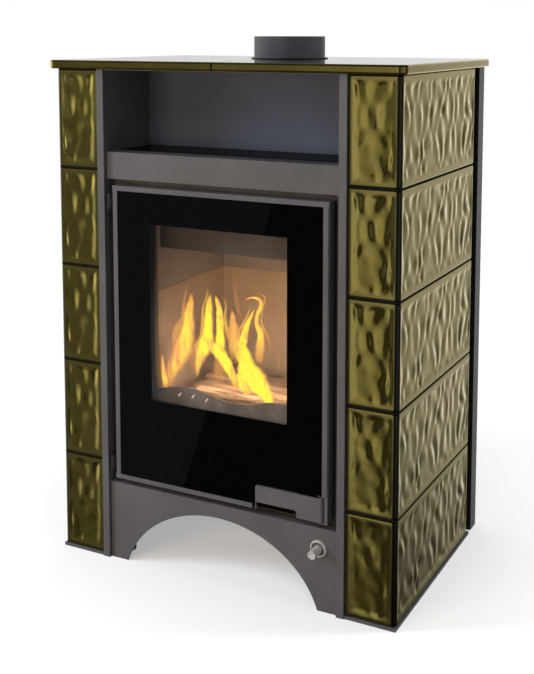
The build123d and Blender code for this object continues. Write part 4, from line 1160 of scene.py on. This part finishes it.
FLAMES = [
    # name, depth behind the front in mm, heat, density, stations of (x, z, half width) in mm
    ("left_tall", 85, 0.9, 0.95, (
        (-168, 349, 12.2), (-153, 375, 14.6), (-141, 402, 21.7), (-126, 431, 26.4),
        (-116, 458, 27.4), (-112, 485, 23.8), (-109, 513, 19), (-105, 536, 14.2), (-104, 557, 9.4),
        (-103, 577, 2.4),
    )),
    ("left_edge", 95, 0.35, 0.6, (
        (-111, 359, 3.6), (-104, 387, 9.5), (-108, 418, 16.7), (-103, 453, 14.3), (-98, 487, 2.4),
    )),
    ("left_low", 75, 0.75, 0.9, (
        (-160, 346, 12.2), (-162, 365, 13), (-166, 386, 8.5), (-169, 410, 4.9), (-172, 435, 1.2),
    )),
    ("left_lick", 80, 0.5, 0.8, (
        (-150, 353, 9.7), (-155, 376, 9.7), (-157, 399, 8.5), (-152, 425, 2.4),
    )),
    ("second_tall", 90, 1.15, 1.0, (
        (-96, 375, 3.6), (-94, 401, 9.5), (-86, 427, 17.7), (-74, 454, 21.1), (-68, 479, 17.5),
        (-67, 508, 15.2), (-66, 535, 12.8), (-63, 556, 8.1), (-62, 577, 2.3),
    )),
    ("second_finger", 95, 1.15, 1.0, (
        (-33, 408, 16.2), (-42, 442, 18.6), (-43, 473, 13.9), (-44, 502, 12.7), (-46, 528, 10.4),
        (-53, 548, 7), (-58, 566, 1.9),
    )),
    ("middle_band", 80, 1.2, 1.0, (
        (5, 371, 11.4), (-6, 398, 13.7), (-20, 424, 18.3), (-38, 444, 20.8), (-57, 460, 18.6),
        (-68, 475, 7),
    )),
    ("middle_low", 100, 0.55, 0.62, (
        (-45, 367, 21), (-45, 395, 25.7), (-48, 419, 23.3), (-52, 446, 11.7),
    )),
    ("wisp", 110, 0.3, 0.55, (
        (-9, 451, 11.5), (-7, 492, 13.7), (-11, 527, 11.5), (-16, 559, 10.3), (-22, 591, 9.2),
        (-27, 617, 6.9), (-29, 643, 1.8),
    )),
    ("amber", 105, 0.6, 0.85, (
        (-18, 408, 9.2), (-16, 443, 20.7), (-15, 474, 21.8), (-18, 498, 18.4), (-20, 519, 12.6),
        (-27, 536, 3.5),
    )),
    ("leaning", 85, 1.1, 1.0, (
        (5, 424, 13.6), (11, 454, 14.7), (16, 481, 12.4), (23, 504, 10.1), (32, 525, 6.3),
        (41, 543, 1.1),
    )),
    ("hook", 100, 0.95, 1.0, (
        (42, 417, 13.5), (44, 446, 15.7), (46, 471, 13.4), (44, 489, 10.1), (36, 504, 6.7),
        (37, 523, 6.7), (44, 538, 7.1), (44, 552, 6.2), (31, 557, 4.9), (15, 553, 3.6),
        (4, 545, 1.1),
    )),
    ("right_big", 75, 1.35, 1.0, (
        (84, 352, 8.8), (70, 376, 19.9), (50, 399, 31.1), (35, 423, 33.5), (26, 446, 24.7),
        (19, 468, 13.5), (17, 486, 3.4),
    )),
    ("right_foot", 80, 1.1, 1.0, (
        (28, 364, 13.5), (23, 388, 24.8), (21, 414, 27), (14, 439, 15.8),
    )),
    ("right_small", 95, 0.3, 0.6, (
        (87, 401, 3.3), (87, 423, 5.5), (87, 443, 5.5), (84, 461, 6.6), (80, 475, 1.8),
    )),
]


VEILED = ("left_tall", "second_tall", "wisp", "hook")
# side, how far a lick leans out in half widths, and how much taller it is than its flame
LICKS = (("left", -0.75, 0.10), ("right", 0.85, 0.05))


def fire():
    """All flames over the logs: the tall ones with a dim veil, each with a lick beside it."""
    for index, (name, depth, hot, dense, stations) in enumerate(FLAMES):
        flame(f"flame_{name}", depth, hot, dense, stations, 1.7 * index)
        if name in VEILED:
            veil = [(x, z, 1.5 * half + 1) for x, z, half in stations]
            flame(
                f"veil_{name}", depth + VEIL_BEHIND, 0.50 * hot, 0.55 * dense,
                veil, 1.7 * index + 0.8,
            )
        side, spread, rise = LICKS[index % 2]
        lick = []
        for step, (x, z, half) in enumerate(stations):
            lean = spread * (1 + 0.35 * sin(2.1 * step + index))
            thick = (0.45 + 0.2 * sin(1.7 * step + 2 * index)) * half + 0.8
            lick.append((x + lean * half, z + rise * (z - stations[0][1]), thick))
        flame(
            f"lick_{name}_{side}", depth + LICK_BEHIND * (1 + spread), 0.72 * hot, 0.66 * dense,
            lick, 2.3 * index + spread,
        )


# ---------------------------------------------------------------- small hardware
SCREW_RADIUS = 3.6 * MM
SCREW_HEAD = 2 * MM
SCREW_MARGIN = 12 * MM           # from the edge of the back panel
SCREW_ROWS = 5


def screw(name, place):
    """A pan-head screw with a round recess, which faces backwards."""
    piece = primitive(
        name, bpy.ops.mesh.primitive_cylinder_add, vertices=24, radius=SCREW_RADIUS,
        depth=SCREW_HEAD,
    )
    edit_faces(piece, lambda c, n: n.z > 0.9)
    bpy.ops.mesh.inset(thickness=SCREW_RADIUS * 0.35)
    bpy.ops.transform.translate(value=(0, 0, 0.5 * MM))
    bpy.ops.mesh.inset(thickness=SCREW_RADIUS * 0.2)
    bpy.ops.mesh.extrude_region_move(TRANSFORM_OT_translate={"value": (0, 0, -0.9 * MM)})
    leave_edit()
    bevelled(piece, 0.2 * MM, 2)
    piece.data.transform(Vector((0, 1, 0)).to_track_quat("Z", "Y").to_matrix().to_4x4())
    piece.location = place
    return piece


def rear_screws():
    """Screws along both edges of the back panel."""
    low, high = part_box("back_panel")
    rise = (high.z - low.z - 2 * SCREW_MARGIN) / (SCREW_ROWS - 1)
    for side in (-1, 1):
        for row in range(SCREW_ROWS):
            x = side * (high.x - SCREW_MARGIN)
            place = (x, high.y + 0.9 * MM, low.z + SCREW_MARGIN + rise * row)
            piece = screw(f"back_screw_{side}_{row}".replace("-", "l"), place)
            finish(piece, "root", ZINC)


# ---------------------------------------------------------------- studio
def light_panel(name, place, target, size, power, colour=(1, 1, 1)):
    """A soft box aimed at a point."""
    clear_selection()
    aim = (Vector(target) - Vector(place)).to_track_quat("-Z", "Y").to_euler()
    bpy.ops.object.light_add(type="AREA", location=place, rotation=aim)
    lamp = bpy.context.object
    lamp.name = name
    lamp.data.shape = "RECTANGLE"
    lamp.data.size, lamp.data.size_y = size
    lamp.data.energy = power
    lamp.data.color = colour
    lamp.visible_camera = False
    lamp.visible_glossy = False
    lamp.visible_transmission = False


def studio_floor():
    """Pale floor that keeps the shadow of the stove; reflections see the room instead."""
    floor = primitive("studio_floor", bpy.ops.mesh.primitive_plane_add, size=60)
    surface = Finish("studio_floor", (0.5, 0.5, 0.5), 1.0)
    surface.tree.nodes.remove(surface.shader)
    matt = surface.add("ShaderNodeBsdfDiffuse")
    lift = surface.add("ShaderNodeEmission")
    both = surface.add("ShaderNodeAddShader")
    away = surface.add("ShaderNodeVectorMath", operation="LENGTH")
    surface.link(surface.place.outputs["Object"], away.inputs[0])
    reach = surface.maths("DIVIDE", away.outputs["Value"], 4.0)
    surface.link(surface.ramp(reach, (0.15, 0.62), (0.8, 0.0)), matt.inputs["Color"])
    white = surface.ramp(reach, (0.15, 0.38), (0.55, 0.90), (0.8, 1.0))
    seen = surface.add("ShaderNodeLightPath").outputs["Is Camera Ray"]
    surface.link(surface.maths("MULTIPLY", white, seen), lift.inputs["Strength"])
    surface.link(matt.outputs[0], both.inputs[0])
    surface.link(lift.outputs[0], both.inputs[1])
    surface.link(both.outputs[0], surface.output.inputs["Surface"])
    floor.visible_glossy = False
    floor.data.materials.append(surface.material)


ROOM = [
    # direction round the stove in degrees from +X, and how bright the room is there
    (-180, (1.60, 1.55, 1.30)),
    (-166, (1.60, 1.53, 1.25)),
    (-150, (1.50, 1.44, 1.20)),
    (-142, (1.05, 1.01, 0.88)),
    (-135, (0.50, 0.49, 0.44)),
    (-130, (0.15, 0.15, 0.14)),
    (-124, (0.17, 0.17, 0.16)),
    (-116, (0.24, 0.23, 0.21)),
    (-112, (0.37, 0.36, 0.33)),
    (-106, (0.70, 0.68, 0.64)),
    (-98, (0.66, 0.64, 0.61)),
    (-90, 0.06),
    (-78, 0.03),
    (-52, 0.22),
    (-25, (0.36, 0.36, 0.35)),
    (-4, (0.30, 0.30, 0.29)),
    (8, 0.12),
    (20, 0.015),
    (48, 0.16),
    (63, (0.38, 0.38, 0.37)),
    (72, (0.52, 0.51, 0.49)),
    (80, (0.86, 0.84, 0.81)),
    (90, (1.35, 1.32, 1.26)),
    (104, 0.74),
    (125, (0.68, 0.68, 0.69)),
    (150, 0.9),
    (180, (1.60, 1.55, 1.30)),
]
# how the room fades downwards and upwards: the height of the direction, and a factor
HEIGHTS = [
    (-0.60, 0.05), (-0.47, 0.22), (-0.41, 0.48), (-0.34, 0.86), (-0.20, 0.95), (-0.05, 1.02),
    (0.24, 1.0), (0.42, 0.06), (1.0, 0.06),
]


CARD_PLACE = (-3.0, -0.5)        # Y and Z of the cards' middle
CARD_TALL = 2.2
SLANT_X = -1.392                 # where both cards meet, at floor height
SLANT = 0.3417                   # the slanted edge's run to its rise, which crosses the glass


def reflected_card(name, straight_x, level):
    """A card in front, seen only in reflections, from an upright edge to the slanted one."""
    card = primitive(
        name, bpy.ops.mesh.primitive_plane_add, (abs(SLANT_X - straight_x), CARD_TALL, 1), size=1,
        location=((straight_x + SLANT_X) / 2, *CARD_PLACE), rotation=UPRIGHT,
    )
    for vertex in card.data.vertices:
        if abs(vertex.co.x - SLANT_X) < 0.01:
            vertex.co.x += SLANT * vertex.co.z
    grey = Finish(name, (0, 0, 0), 0.5)
    grey.give("Specular IOR Level", 0.0)
    grey.glow((1.0, 1.0, 0.97), level)
    card.data.materials.append(grey.material)
    card.visible_camera = False
    card.visible_diffuse = False
    card.visible_transmission = False
    card.visible_shadow = False


def studio_world():
    """White to the camera; to reflections a room that is dark in front and bright behind."""
    world = bpy.data.worlds.new("studio_world")
    bpy.context.scene.world = world
    world.use_nodes = True
    sky = Pattern(world.node_tree, "World Output")
    turn = sky.maths("ARCTAN2", sky.axis("Y", "Generated"), sky.axis("X", "Generated"))
    round_share = sky.maths("DIVIDE", sky.maths("ADD", turn, pi), 2 * pi)
    walls = sky.ramp(round_share, *(((degrees + 180) / 360, level) for degrees, level in ROOM))
    up_share = sky.maths("DIVIDE", sky.maths("ADD", sky.axis("Z", "Generated"), 1), 2)
    fade = sky.ramp(up_share, *(((height + 1) / 2, level) for height, level in HEIGHTS))
    room = sky.tree.nodes["Background"]
    sky.feed(sky.mix(1.0, walls, fade, "MULTIPLY"), room.inputs["Color"])
    backdrop = sky.add("ShaderNodeBackground")
    sky.feed((1, 1, 1), backdrop.inputs["Color"])
    sky.by_ray("Is Camera Ray", backdrop, room)


COOL = (0.84, 0.90, 1.0)
SOFT = (1.0, 0.94, 0.87)
CLEAR = (0.95, 0.96, 1.0)
WARM = (1.0, 0.72, 0.48)
FIRELIGHT = (1.0, 0.77, 0.56)


def studio_lamps():
    """Soft boxes: front left, high front, low front, right, overhead, right rear, and the fire."""
    light_panel("left_window", (-2.4, -1.7, 1.5), (0, -0.1, 0.8), (1.0, 1.6), 86, COOL)
    light_panel("high_front", (-0.1, -2.1, 2.5), (0, -0.2, 0.6), (2.0, 1.2), 24, CLEAR)
    light_panel("low_front", (-0.4, -2.3, 0.8), (0, -0.2, 0.4), (1.2, 0.8), 21, WARM)
    light_panel("right_fill", (1.7, -1.9, 0.9), (-0.15, -0.2, 0.55), (0.6, 0.6), 6, SOFT)
    light_panel("overhead", (0.2, 0.4, 3.4), (0, 0, 0.8), (2.4, 2.0), 60)
    light_panel("right_rear", (3.2, 1.6, 1.6), (0.37, 0, 0.5), (0.8, 2.2), 90)
    glow = (0, FRONT_Y + 0.07, 0.43)
    light_panel("fire_back_glow", glow, (0, 0.1, 0.46), (0.26, 0.12), 1.25, FIRELIGHT)
    light_panel("fire_front_glow", glow, (0, -0.6, 0.46), (0.26, 0.12), 0.40, FIRELIGHT)


def photo_camera():
    """The camera at the photograph's place."""
    clear_selection()
    bpy.ops.object.camera_add(
        location=CAMERA_PLACE, rotation=(radians(90 - CAMERA_PITCH), 0, radians(CAMERA_YAW))
    )
    camera = bpy.context.object
    camera.name = "photo_camera"
    camera.data.lens = CAMERA_LENS
    camera.data.sensor_width = CAMERA_SENSOR
    camera.data.shift_y = CAMERA_SHIFT
    bpy.context.scene.camera = camera


dress_nodes()
glazed_tiles()
painted_frame()
ceramic_top()
flue()
hidden_plates()
door()
door_handle()
air_knob()
firebox()
logs()
ash_bed()
fire()
rear_screws()
studio_floor()
reflected_card("grey_card", -2.62, 0.11)
reflected_card("black_card", -0.95, 0.03)
studio_world()
studio_lamps()
photo_camera()
bpy.context.scene.view_settings.view_transform = "Standard"
